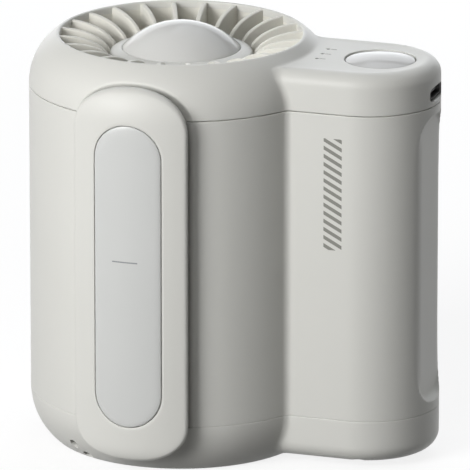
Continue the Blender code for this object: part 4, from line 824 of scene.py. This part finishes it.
def make_base_shell():
    high = LOWER_SEAM - LOWER_SEAM_HALF
    rings = seam_rings(high, -1, BASE_SEAM_EDGE)
    rings += edge_rings(high - 0.8, COLUMN_BOTTOM + BOTTOM_EDGE, -BOTTOM_EDGE, 7)
    for z in (COLUMN_BOTTOM, 1.4, 0.9, 0.5):
        rings.append(body_ring(main_radius(z), BOTTOM_EDGE, z, False))
    rings += [body_ring(radius, BOTTOM_EDGE, z, False) for radius, z in FOOT]
    roof = COLUMN_BOTTOM + WALL
    inner_edge = BOTTOM_EDGE - WALL

    def cavity_r(z):
        return max(main_radius(z) - WALL, DUCT_R + FIT)

    rings.append(body_ring(cavity_r(roof), BOTTOM_EDGE, roof, False))
    for turn in reversed(quarter(4)):
        z = roof + inner_edge * (1 - math.sin(turn))
        rings.append(body_ring(cavity_r(z), WALL + inner_edge * (1 - math.cos(turn)), z))
    for z in (10.0, high):
        rings.append(body_ring(main_radius(z) - WALL, WALL, z, back=WELL_FLOOR_Y))
    shell = skin("base_shell", rings, loop=True)
    bosses, wells = [], []
    low, seat = WALL / 2 + 3.2, SCREW_SEAT_Z + FIT
    for number, (x, y) in enumerate(screw_places(), 1):
        bosses.append(rod(f"screw_boss_{number}", BOSS_R, (x, y, low), (x, y, high - FIT)))
        wells.append(rod(f"screw_well_{number}", SCREW_WELL_R, (x, y, -2.0), (x, y, seat)))
        wells.append(rod(f"screw_bore_{number}", SCREW_BORE_R, (x, y, seat - 0.65), (x, y, 16.0)))
    carve(shell, *bosses, operation="UNION")
    carve(shell, *wells, eyelet())
    return dress(shell, CASING, SHELL, "bottom_cover", slot="shell")


def eyelet():
    """The curved tunnel that leaves a bar for a lanyard under the base's rounding."""
    angle, z, ring_r, bore_r = math.radians(-118.6), 2.65, 2.4, 1.65
    around = Vector((math.cos(angle), math.sin(angle), 0.0))
    drop = (LOWER_SEAM - z) / bow_radius(*BASE)
    normal = around * math.sqrt(1 - drop ** 2) + Vector((0, 0, -drop))
    along = Vector((0, 0, 1)).cross(around).normalized()
    mouth = (along - normal.cross(along).normalized() * 1.25).normalized()
    side = mouth.cross(normal)
    middle = around * main_radius(z) + Vector((0, 0, z))
    rings = []
    for i in range(36):
        turn = math.tau * i / 36
        out = mouth * math.cos(turn) + normal * math.sin(turn)
        rings.append([middle + out * (ring_r + x) + side * y
                      for x, y in arc(0, 0, bore_r, 0, math.tau, 16)])
    return skin("eyelet", rings, loop=True)


# Outlet, dome and fan

def make_vanes():
    """The outlet's outer ring and hub, and the vanes between them."""
    ring = [(AIRWAY_R, RING_TOP), (DUCT_R, RING_TOP), (DUCT_R, RING_BOTTOM),
            (AIRWAY_R, RING_BOTTOM)]
    dress(turned("outlet_ring", ring), CASING, VANES, slot="vanes")
    seat = HUB_TOP - 3.0
    cup = [(CAP_R + 0.06, CAP_BASE - 0.25), (CAP_R + 0.16, CAP_BASE - 0.08),
           (CAP_R + 0.35, CAP_BASE), (CAP_R + 0.8, CAP_BASE - 0.02),
           (HUB_R - 0.75, HUB_TOP + 0.02), (HUB_R - 0.4, HUB_TOP - 0.14),
           (HUB_R - 0.15, HUB_TOP - 0.38), (HUB_R - 0.03, HUB_TOP - 0.7), (HUB_R, HUB_TOP - 1.1),
           (HUB_R, HUB_BOTTOM + 0.3), (HUB_R - 0.3, HUB_BOTTOM), (HUB_R - 1.6, HUB_BOTTOM),
           (HUB_R - 1.6, HUB_FLOOR - 2.5), (4.3, HUB_FLOOR - 2.5), (4.3, HUB_FLOOR),
           (CAP_R - 1.3, HUB_FLOOR), (CAP_R - 1.3, seat), (CAP_R + 0.06, seat)]
    dress(turned("outlet_hub", cup), CASING, COLLAR, slot="vanes", sharp=50.0)
    rim_r, half, edge = AIRWAY_R + 0.4, VANE_T / 2, 0.42
    span = rim_r - HUB_R
    rings = []
    for i in range(23):
        turn = QUARTER * i / 22
        x, z = rim_r - span * math.sin(turn), VANE_TOP - VANE_FALL * (1 - math.cos(turn))
        normal = Vector((-VANE_FALL * math.sin(turn), span * math.cos(turn)))
        normal = Vector((0.0, 1.0)) if i == 0 else normal.normalized()
        top = []
        for lift in quarter(5):
            depth, draw = edge * (1 - math.sin(lift)), edge * (1 - math.cos(lift))
            top.append((x - normal.x * depth, half - draw, z - normal.y * depth))
        foot_x = max(x, HUB_R - 0.5)
        foot = [(foot_x, half - 0.3, VANE_FOOT), (foot_x, half, VANE_FOOT + 0.3)]
        near = [*foot, *top]
        rings.append([*near[1:], *[(a, -b, c) for a, b, c in reversed(near)], near[0]])
    rings.append([(HUB_R - 0.6, y, min(z, HUB_TOP - 2.0)) for _, y, z in rings[-1]])
    vane = skin("outlet_vane_set", rings, origin=local)
    grow(vane, COPIES, VANES, Count=VANE_COUNT, Start=VANE_ANGLE, Turn=math.tau / VANE_COUNT,
         Centre=SHAFT * MM)
    return dress(vane, CASING, VANES, "outlet_vanes", slot="vanes", sharp=40.0)


def make_dome():
    wall, foot = 1.5, HUB_TOP - 2.7
    outer = crown(CAP_R, CAP_BASE, CAP_TOP, 0.25, 28)
    x, z = outer[-1]
    outer += [(x + 0.15, z - 0.22), (CAP_R, z - 0.5), (CAP_R, foot), (CAP_R - wall, foot)]
    radius = bow_radius(CAP_R, CAP_TOP - CAP_BASE)
    spread = math.asin((CAP_R - wall) / (radius - wall))
    inner = arc(0.0, CAP_TOP - radius, radius - wall, QUARTER - spread, QUARTER, 8)
    inner.append((0.0, CAP_TOP - wall))
    return dress(turned("hub_dome", outer + inner), CASING, DOME, "hub_cap", slot="cap")


def make_impeller():
    top, low = IMPELLER_TOP, IMPELLER_BOTTOM
    hub = [(0.0, low + 2.4), (BELL_R, low + 2.4), (BELL_R, top - 0.2), (BELL_R + 0.2, top),
           (IMPELLER_R - 0.4, top), (IMPELLER_R - 0.1, top - 0.12), (IMPELLER_R, top - 0.5)]
    hub += [(IMPELLER_R * math.cos(t), low - NOSE_H * math.sin(t)) for t in quarter(20)[:-1]]
    hub.append((0.0, low - NOSE_H))
    dress(turned("impeller_hub", hub), ROTOR, INNER, slot="inner")
    middle = (top + low) / 2
    rings = []
    for station in range(13):
        share = station / 12
        radius = IMPELLER_R - 0.6 + (BLADE_TIP_R - IMPELLER_R + 0.6) * share
        sweep = math.radians(34.0) * (1 - 0.18 * share)
        height = 20.0 * (1 - 0.25 * share)
        upper, lower = [], []
        for step in range(13):
            along = step / 12 - 0.5
            thick = 0.75 * (1.5 - abs(along)) * math.sqrt(max(1 - (2 * along) ** 6, 0.02))
            z = middle + height * (along + 0.35 * (0.25 - along ** 2))
            for side, row in ((1, upper), (-1, lower)):
                turn = sweep * along + side * thick / radius
                row.append((radius * math.cos(turn), radius * math.sin(turn), z))
        rings.append(upper + lower[::-1])
    blade = skin("impeller_blades", rings, origin=local)
    grow(blade, COPIES, INNER, Count=BLADE_COUNT, Turn=math.tau / BLADE_COUNT, Centre=SHAFT * MM)
    return dress(blade, ROTOR, INNER, "impeller", slot="inner", sharp=50.0)


def make_intake():
    """The duct, and the spoked grille behind the base's opening."""
    low, high, edge = WALL + FIT, 3.8, 0.3
    top, bevel = RING_BOTTOM - FIT, 0.2
    duct = [(AIRWAY_R, low + bevel), (AIRWAY_R + bevel, low), (DUCT_R, low), (DUCT_R, top),
            (AIRWAY_R + bevel, top), (AIRWAY_R, top - bevel)]
    dress(turned("duct_wall", duct), CASING, INNER, "air_duct", slot="inner")

    def band(inner, outer):
        return [(inner, high - edge), (inner + edge, high), (outer - edge, high),
                (outer, high - edge), (outer, low + edge), (outer - edge, low), (inner + edge, low),
                (inner, low + edge)]

    dress(turned("intake_rim", band(INTAKE_R, AIRWAY_R - FIT)), CASING, INNER, slot="inner")
    disc = [(0.0, high), *band(0.0, SPOKE_ROOT_R)[2:6], (0.0, low)]
    dress(turned("intake_disc", disc), CASING, INNER, slot="inner")
    start, end = SPOKE_ROOT_R - edge - 0.2, INTAKE_R + edge + 0.2
    section = band(-SPOKE_T / 2, SPOKE_T / 2)
    spoke = skin("intake_spokes", [[(x, y, z) for y, z in section] for x in (start, end)],
                 origin=local)
    grow(spoke, COPIES, INNER, Count=SPOKE_COUNT, Turn=math.tau / SPOKE_COUNT, Centre=SHAFT * MM)
    return dress(spoke, CASING, INNER, "intake_grille", slot="inner")


# Button, lamps and socket

def make_button():
    profile = crown(BUTTON_R, BUTTON_EDGE_Z, BUTTON_TOP, 0.35, 16)
    x, z = profile[-1]
    flange_r, inner_r, stem_r = BUTTON_R + 1.2, BUTTON_R - 1.3, 1.6
    flange_top, flange_low, under, stem_low = 110.5, 109.5, 110.8, 108.0
    profile += [(x + 0.15, z - 0.06), (BUTTON_R - 0.06, z - 0.18), (BUTTON_R, z - 0.38),
                (BUTTON_R, flange_top), (flange_r, flange_top), (flange_r, flange_low),
                (inner_r, flange_low), (inner_r, under), (stem_r, under), (stem_r, stem_low),
                (0.0, stem_low)]
    cap = turned("button_cap", profile, (BUTTON_X, 0.0))
    return dress(cap, BUTTON, BUTTON_GLOSS, "power_button", slot="button")


def make_lamps():
    """The light guide's prongs, coloured dark as painted shade so that they show as three unlit
    holes, and the ticks printed by them.
    """
    dots = [(0.0, 108.9), (LAMP_R, 108.9), (LAMP_R, 112.5), (LAMP_R - 0.08, 112.66),
            (LAMP_R - 0.25, 112.74), (0.0, 112.78)]
    prong = turned("lamp_dots", dots, (LAMP_X, -LAMP_PITCH), 24)
    grow(prong, COPIES, PAINTED_SHADE_LENS, Count=3, Step=(0.0, LAMP_PITCH * MM, 0.0))
    dress(prong, CASING, PAINTED_SHADE_LENS, slot="clear")
    bar = block("lamp_bar", (LAMP_X - 1.5, -LAMP_PITCH - 1.5, 109.1),
                (LAMP_X + 1.5, LAMP_PITCH + 1.5, 110.4))
    dress(bar, CASING, PAINTED_SHADE_LENS, "light_guide", slot="clear")
    tick = block("lamp_ticks", (LAMP_X + 0.75, -LAMP_PITCH - 0.1, COLUMN_TOP - 0.3),
                 (LAMP_X + 2.45, -LAMP_PITCH + 0.1, COLUMN_TOP + 0.02))
    grow(tick, COPIES, INK, Count=3, Step=(0.0, LAMP_PITCH * MM, 0.0))
    dress(tick, CASING, INK, slot="shell")


def make_socket():
    half_w, half_h, skin_t = SOCKET_HALF_WIDTH, SOCKET_HALF_HEIGHT, 0.3
    back, front = SOCKET_FRONT - SOCKET_LENGTH, SOCKET_FRONT
    rings = []
    for x, draw in ((back, 0.0), (front - 0.1, 0.0), (front, 0.1), (front, 0.24),
                    (front - 0.12, skin_t), (back + 1.0, skin_t)):
        half = half_h - draw
        outline = rounded(half_w - draw, half, half * 0.99)
        rings.append([(x, y, SOCKET_Z + z) for y, z in outline])
    # The shell's near-black steel is painted shade for the dark inside of the slot.
    dress(skin("socket_shell", rings), CASING, SOCKET_STEEL_PAINTED_SHADE, "usb_socket", slot="steel")
    tongue_top, count, pitch = SOCKET_Z + 0.35, 12, 0.5
    tongue = block("socket_tongue", (back + 0.9, -3.3, SOCKET_Z - 0.35),
                   (front - 1.0, 3.3, tongue_top))
    dress(tongue, CASING, BLACK, slot="dark")
    first = -pitch * (count - 1) / 2
    contact = block("socket_contacts", (front - 4.0, first - 0.12, tongue_top),
                    (front - 1.4, first + 0.12, tongue_top + 0.03))
    grow(contact, COPIES, GOLD, Count=count, Step=(0.0, pitch * MM, 0.0))
    dress(contact, CASING, GOLD, slot="brass")


# Belt clip

def rise(low, high):
    """Heights up one side of the clip's outlines, which have the same counts of points."""
    return [low + (high - low) * i / CLIP_SIDE_STEPS for i in range(CLIP_SIDE_STEPS)]


def clip_outline(margin=0.0):
    """The plate's face outline from its lower right: side, top end, side, bottom end."""
    half = CLIP_HALF_WIDTH + margin
    low, high = PLATE_MIDDLE
    power = 2 / CLIP_END_POWER

    def end_points(middle, depth, start):
        points = []
        for i in range(CLIP_END_STEPS):
            turn = start + math.pi * i / CLIP_END_STEPS
            c, s = math.cos(turn), math.sin(turn)
            points.append((math.copysign(abs(c) ** power, c) * half,
                           middle + math.copysign(abs(s) ** power, s) * (depth + margin)))
        return points

    return ([(half, z) for z in rise(low, high)] + end_points(high, CLIP_TOP_END, 0.0)
            + [(-half, z) for z in rise(high, low)] + end_points(low, CLIP_BOTTOM_END, math.pi))


def panel_outline(margin=0.0):
    """The inset panel's outline, point for point with the plate's."""
    half = PANEL_HALF_WIDTH + margin
    low, high = PANEL_MIDDLE
    return ([(half, z) for z in rise(low, high)]
            + arc(0.0, high, half, 0.0, math.pi, CLIP_END_STEPS)
            + [(-half, z) for z in rise(high, low)]
            + arc(0.0, low, half, math.pi, math.tau, CLIP_END_STEPS))


def spine(low, high):
    """The line that both outlines shrink to."""
    return ([(0.0, z) for z in rise(low, high)] + [(0.0, high)] * CLIP_END_STEPS
            + [(0.0, z) for z in rise(high, low)] + [(0.0, low)] * CLIP_END_STEPS)


def between(first, second, share):
    return [(a + (c - a) * share, b + (d - b) * share) for (a, b), (c, d) in zip(first, second)]


def plate_radius(z):
    if z < CLIP_Z[0] + LIP_H:
        share = min((CLIP_Z[0] + LIP_H - z) / LIP_H, 1.0)
        return CLIP_OUTER_R - LIP_ROUND * (1 - math.sqrt(1 - 0.97 * share ** 2))
    return main_radius(max(z, UPPER_SEAM)) + CLIP_GAP + CLIP_T


def plate_back(z):
    """The radius of the plate's inner face, with its lip at the bottom."""
    lip_top = CLIP_Z[0] + LIP_H
    lip_r = main_radius(lip_top) + FIT
    if z < lip_top + LIP_H / 2:
        return lip_r + (CLIP_INNER_R - lip_r) * smooth((z - lip_top) / (LIP_H / 2))
    return main_radius(max(z, UPPER_SEAM)) + CLIP_GAP


def on_plate(outline, depth=0.0, share=0.0):
    """Lays an outline on the plate, a depth below its face and a share of its thickness.

    The plate's sides point at the shaft, so an outline narrows as it goes in."""
    ring = []
    for x, z in outline:
        inwards = max(depth, 0.0) * (1 - share) + share * CLIP_T
        x *= 1 - inwards / CLIP_OUTER_R
        front = -math.sqrt(plate_radius(z) ** 2 - x ** 2)
        back = -math.sqrt(plate_back(z) ** 2 - x ** 2)
        ring.append((x, front + depth + share * (back - front - depth), z))
    return ring


def make_plate():
    """The plate with the panel's recess in its face, its lip and its two ears."""
    floor, middle = panel_outline(), spine(*PANEL_MIDDLE)
    rings = [on_plate(between(middle, floor, i / 6), PANEL_T + FIT) for i in range(7)]
    rings += [on_plate(floor, 0.12), on_plate(panel_outline(0.04), 0.04)]
    face_edge, groove = clip_outline(-CLIP_EDGE), panel_outline(0.12)
    rings += [on_plate(between(groove, face_edge, i / 10)) for i in range(11)]
    for turn in quarter(6)[1:]:
        draw = CLIP_EDGE * (1 - math.sin(turn))
        rings.append(on_plate(clip_outline(-draw), CLIP_EDGE * (1 - math.cos(turn))))
    rings.append(on_plate(clip_outline(), CLIP_EDGE + 0.4))
    for turn in quarter(5):
        draw, left = CLIP_BACK_EDGE * (1 - math.cos(turn)), CLIP_BACK_EDGE * (1 - math.sin(turn))
        rings.append(on_plate(clip_outline(-draw), 0.0, 1 - left / CLIP_T))
    back_edge, middle = clip_outline(-CLIP_BACK_EDGE), spine(*PLATE_MIDDLE)
    rings += [on_plate(between(back_edge, middle, i / 16), 0.0, 1.0) for i in range(1, 17)]
    plate = skin("clip_plate", rings)
    ear_x = EAR_X + EAR_T + 2 * FIT
    add_ears(plate, "clip_ear", ear_x, CLIP_EAR_R, -(CLIP_INNER_R + CLIP_T / 3))
    reach = ear_x + EAR_T + 1.0
    carve(plate, rod("clip_pin_hole", PIN_HOLE_R, (-reach, *PIVOT), (reach, *PIVOT)))
    dress(plate, CLIP, SHELL, "clip_lever", slot="shell")


def pillow(draw):
    """The panel's outline drawn in, and further still at its top end."""
    fall = draw * PANEL_TOP_FALL / PANEL_HALF_WIDTH
    return [(x, z - max(z - PANEL_MIDDLE[1], 0.0) * fall)
            for x, z in panel_outline(-GROOVE - draw)]


def make_panel():
    """The inset panel with its crowned edge, and the short line on it."""
    middle, crest = spine(*PANEL_MIDDLE), pillow(PANEL_PILLOW)
    rings = [on_plate(between(middle, crest, i / 8), -PANEL_RISE) for i in range(9)]
    shoulder = 0.15
    for turn in reversed(quarter(8)[:-1]):
        outline = pillow(PANEL_PILLOW * (1 - math.cos(turn)))
        rings.append(on_plate(outline, shoulder - (PANEL_RISE + shoulder) * math.sin(turn)))
    under = panel_outline(-GROOVE)
    rings += [on_plate(between(under, middle, i / 6), PANEL_T) for i in range(7)]
    dress(skin("clip_panel", rings), CLIP, PANEL, "clip_inlay", slot="inlay")

    left, right, line_low, line_high, proud = -4.2, 3.1, 62.02, 62.38, 0.12
    rings = []
    for i in range(25):
        x = left + (right - left) * i / 24
        low, high = on_plate([(x, line_low), (x, line_high)], 0.1 - PANEL_RISE)
        rings.append([low, (x, low[1] - proud, low[2]), (x, high[1] - proud, high[2]), high])
    dress(skin("panel_line", rings), CLIP, LINE_INK, slot="inlay")


# Print and fasteners

def make_stripes():
    """The block of slanting bars on the column's front wall, cut square at both ends."""
    left, right, low, high = 47.75, 52.95, 62.9, 94.6
    thick, fall, pitch, count = 1.1, 2.75, 2.31, 18
    back, front = 0.05 - COLUMN_R, -0.02 - COLUMN_R
    first = high + 3.05
    last = first - fall * (right - left + 2) / (right - left)
    corners = [(left - 1, first), (right + 1, last), (right + 1, last - thick),
               (left - 1, first - thick)]
    bars = skin("stripe_print", [[(x, y, z) for x, z in corners] for y in (back, front)])
    grow(bars, COPIES, INK, Count=count, Step=(0.0, 0.0, -pitch * MM))
    window = block("stripe_window", (left, front - 1, low), (right, back + 1, high))
    return dress(carve(bars, window, operation="INTERSECT"), CASING, INK, slot="shell")


def make_screws():
    shape = bmesh.new()
    for x, y in screw_places():
        shape.verts.new(at(x, y, SCREW_SEAT_Z))
    screws = piece_from("base_screws", shape)
    grow(screws, SCREWS, STEEL, Head_radius=1.7 * MM, Head_height=1.3 * MM,
         Shank_radius=0.9 * MM, Shank_length=12.0 * MM, Slot_width=0.5 * MM)
    nodes = [f"cover_screw_{number}" for number in (1, 2, 3)]
    return dress(screws, CASING, STEEL, *nodes, slot="steel")


# The CAD nodes that stay as they are, by finish
NODE_FINISHES = (
    (STEEL, ("bearing_upper", "bearing_lower", "rotor_bell", "motor_shaft", "cell_link_lower",
             "cell_link_upper", "clip_pin", "clip_spring", "board_screw_1", "board_screw_2")),
    (BLACK, ("motor_lead", "battery_tray", "battery_cap", "battery_lead_black", "tact_switch",
             "switch_plunger")),
    (BRASS, ("bearing_tube",)),
    (COPPER, ("motor_stator",)),
    (FERRITE, ("magnet_ring",)),
    (BOARD, ("motor_board", "control_board")),
    (WRAP, ("battery_cell_1", "battery_cell_2")),
    (RED, ("battery_lead_red",)),
    (LAMP_BODY, ("indicator_led_1", "indicator_led_2", "indicator_led_3")),
)


def finish_nodes():
    for finish, names in NODE_FINISHES:
        for name in names:
            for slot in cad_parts[name].material_slots:
                slot.material = finish


# Studio

CAMERA_TURN = math.radians(18.46)
CAMERA_TILT = math.radians(16.5)
CAMERA_DISTANCE = 2453.0
FOCAL_LENGTH = 676.4
SENSOR_WIDTH = 36.0
UP = Vector((0.0, 0.0, 1.0))
RIGHT = Vector((math.cos(CAMERA_TURN), math.sin(CAMERA_TURN), 0.0))
TOWARDS = Vector((math.sin(CAMERA_TURN), -math.cos(CAMERA_TURN), 0.0))
LOOK = RIGHT * 14.83 + UP * 56.99
LAMP_TARGET = Vector((14.0, 0.0, 57.0))

# Each softbox's swing from the view direction to the right and its lift, in degrees, then its
# distance in millimetres, its size in metres and its power
SOFTBOXES = {
    "key_softbox": (-45.0, 25.0, 900.0, (0.36, 0.36), 5.15),
    "low_softbox": (-45.0, 12.0, 900.0, (0.36, 0.36), 2.0),
    "upper_softbox": (-20.0, 40.0, 900.0, (0.36, 0.36), 1.25),
    "side_softbox": (93.0, 3.0, 900.0, (0.5, 0.7), 1.3),
    "rear_upper_softbox": (150.0, 50.0, 900.0, (0.9, 0.5), 3.1),
    "rear_softbox": (180.0, 14.0, 900.0, (0.9, 0.5), 2.5),
}
REAR_TINT = (0.93, 0.96, 1.0)
WHITE = (1.0, 1.0, 1.0, 1.0)
AMBIENT = 0.02
FLOOR_HALF = 6.0
FLOOR_GREY = 0.2
FLOOR_GLOW = 0.84
BACKDROP_TOP = math.sin(math.radians(23.0))
BACKDROP_BLUR = 0.015
BACKDROP_GLOW = 0.85
CEILING_GREY = 0.30


def aimed(name, data, place, way):
    """A lamp or camera at a place, whose back is turned along way."""
    made = placed(name, data)
    made.location = at(*place)
    made.rotation_euler = (-way).to_track_quat("-Z", "Y").to_euler()
    return made


def make_camera():
    lens = bpy.data.cameras.new("camera")
    lens.lens = FOCAL_LENGTH
    lens.sensor_width = SENSOR_WIDTH
    lens.clip_start = 0.1
    lens.clip_end = 20.0
    back = TOWARDS * math.cos(CAMERA_TILT) + UP * math.sin(CAMERA_TILT)
    camera = aimed("camera", lens, LOOK + back * CAMERA_DISTANCE, back)
    bpy.context.scene.camera = camera


def softbox(name, swing, lift, distance, size, power):
    swing, lift = math.radians(swing), math.radians(lift)
    level = TOWARDS * math.cos(swing) + RIGHT * math.sin(swing)
    way = level * math.cos(lift) + UP * math.sin(lift)
    lamp = bpy.data.lights.new(name, "AREA")
    lamp.shape = "RECTANGLE"
    lamp.size, lamp.size_y = size
    lamp.energy = power
    if name.startswith("rear"):
        lamp.color = REAR_TINT
    aimed(name, lamp, LAMP_TARGET + way * distance, way).visible_camera = False


def seen_directly(tree):
    """A socket that is 1 on camera, glossy and transmission rays and 0 on the rest."""
    path = add_node(tree, "ShaderNodeLightPath")
    total = path["Is Camera Ray"]
    for name in ("Is Glossy Ray", "Is Transmission Ray"):
        total = add_node(tree, "ShaderNodeMath", {0: total, 1: path[name]},
                         operation="ADD", use_clamp=True)[0]
    return total


def make_world():
    """White for the rays that show the background, with a grey ceiling in reflections, and
    a dim even grey for the light that it sheds."""
    world = bpy.data.worlds.new("studio")
    bpy.context.scene.world = world
    world.use_nodes = True
    tree = world.node_tree
    place = add_node(tree, "ShaderNodeTexCoord")["Generated"]
    height = add_node(tree, "ShaderNodeSeparateXYZ", {0: place})["Z"]
    mirrored = add_node(tree, "ShaderNodeMapRange", {
        "Value": height, "From Min": BACKDROP_TOP, "From Max": BACKDROP_TOP + BACKDROP_BLUR,
        "To Min": BACKDROP_GLOW, "To Max": CEILING_GREY})[0]
    camera = add_node(tree, "ShaderNodeLightPath")["Is Camera Ray"]
    shown = add_node(tree, "ShaderNodeMix", {0: camera, 2: mirrored, 3: 1.0})[0]
    strength = add_node(tree, "ShaderNodeMix", {0: seen_directly(tree), 2: AMBIENT, 3: shown})[0]
    background = tree.nodes["Background"]
    background.inputs["Color"].default_value = WHITE
    tree.links.new(strength, background.inputs["Strength"])


def make_floor():
    """Paper that looks white but for the shadows on it, and sheds light as a grey one."""
    shape = bmesh.new()
    bmesh.ops.create_grid(shape, x_segments=1, y_segments=1, size=FLOOR_HALF)
    floor = piece_from("studio_floor", shape)
    finish = bpy.data.materials.new("floor_paper")
    finish.use_nodes = True
    tree = finish.node_tree
    tree.nodes.remove(tree.nodes["Principled BSDF"])
    grey = (FLOOR_GREY, FLOOR_GREY, FLOOR_GREY, 1.0)
    paper = add_node(tree, "ShaderNodeBsdfDiffuse", {"Color": grey})[0]
    glow = add_node(tree, "ShaderNodeEmission", {"Color": WHITE, "Strength": FLOOR_GLOW})[0]
    both = add_node(tree, "ShaderNodeAddShader", {0: paper, 1: glow})[0]
    choice = add_node(tree, "ShaderNodeMixShader", {0: seen_directly(tree), 1: paper, 2: both})[0]
    tree.links.new(choice, tree.nodes["Material Output"].inputs[0])
    floor.data.materials.append(finish)


def make_studio():
    for name, settings in SOFTBOXES.items():
        softbox(name, *settings)
    make_world()
    make_floor()
    bpy.context.scene.view_settings.view_transform = "Standard"


make_camera()
make_top_shell()
make_main_shell()
make_base_shell()
make_vanes()
make_dome()
make_impeller()
make_intake()
make_button()
make_lamps()
make_socket()
make_plate()
make_panel()
make_stripes()
make_screws()
finish_nodes()
make_studio()
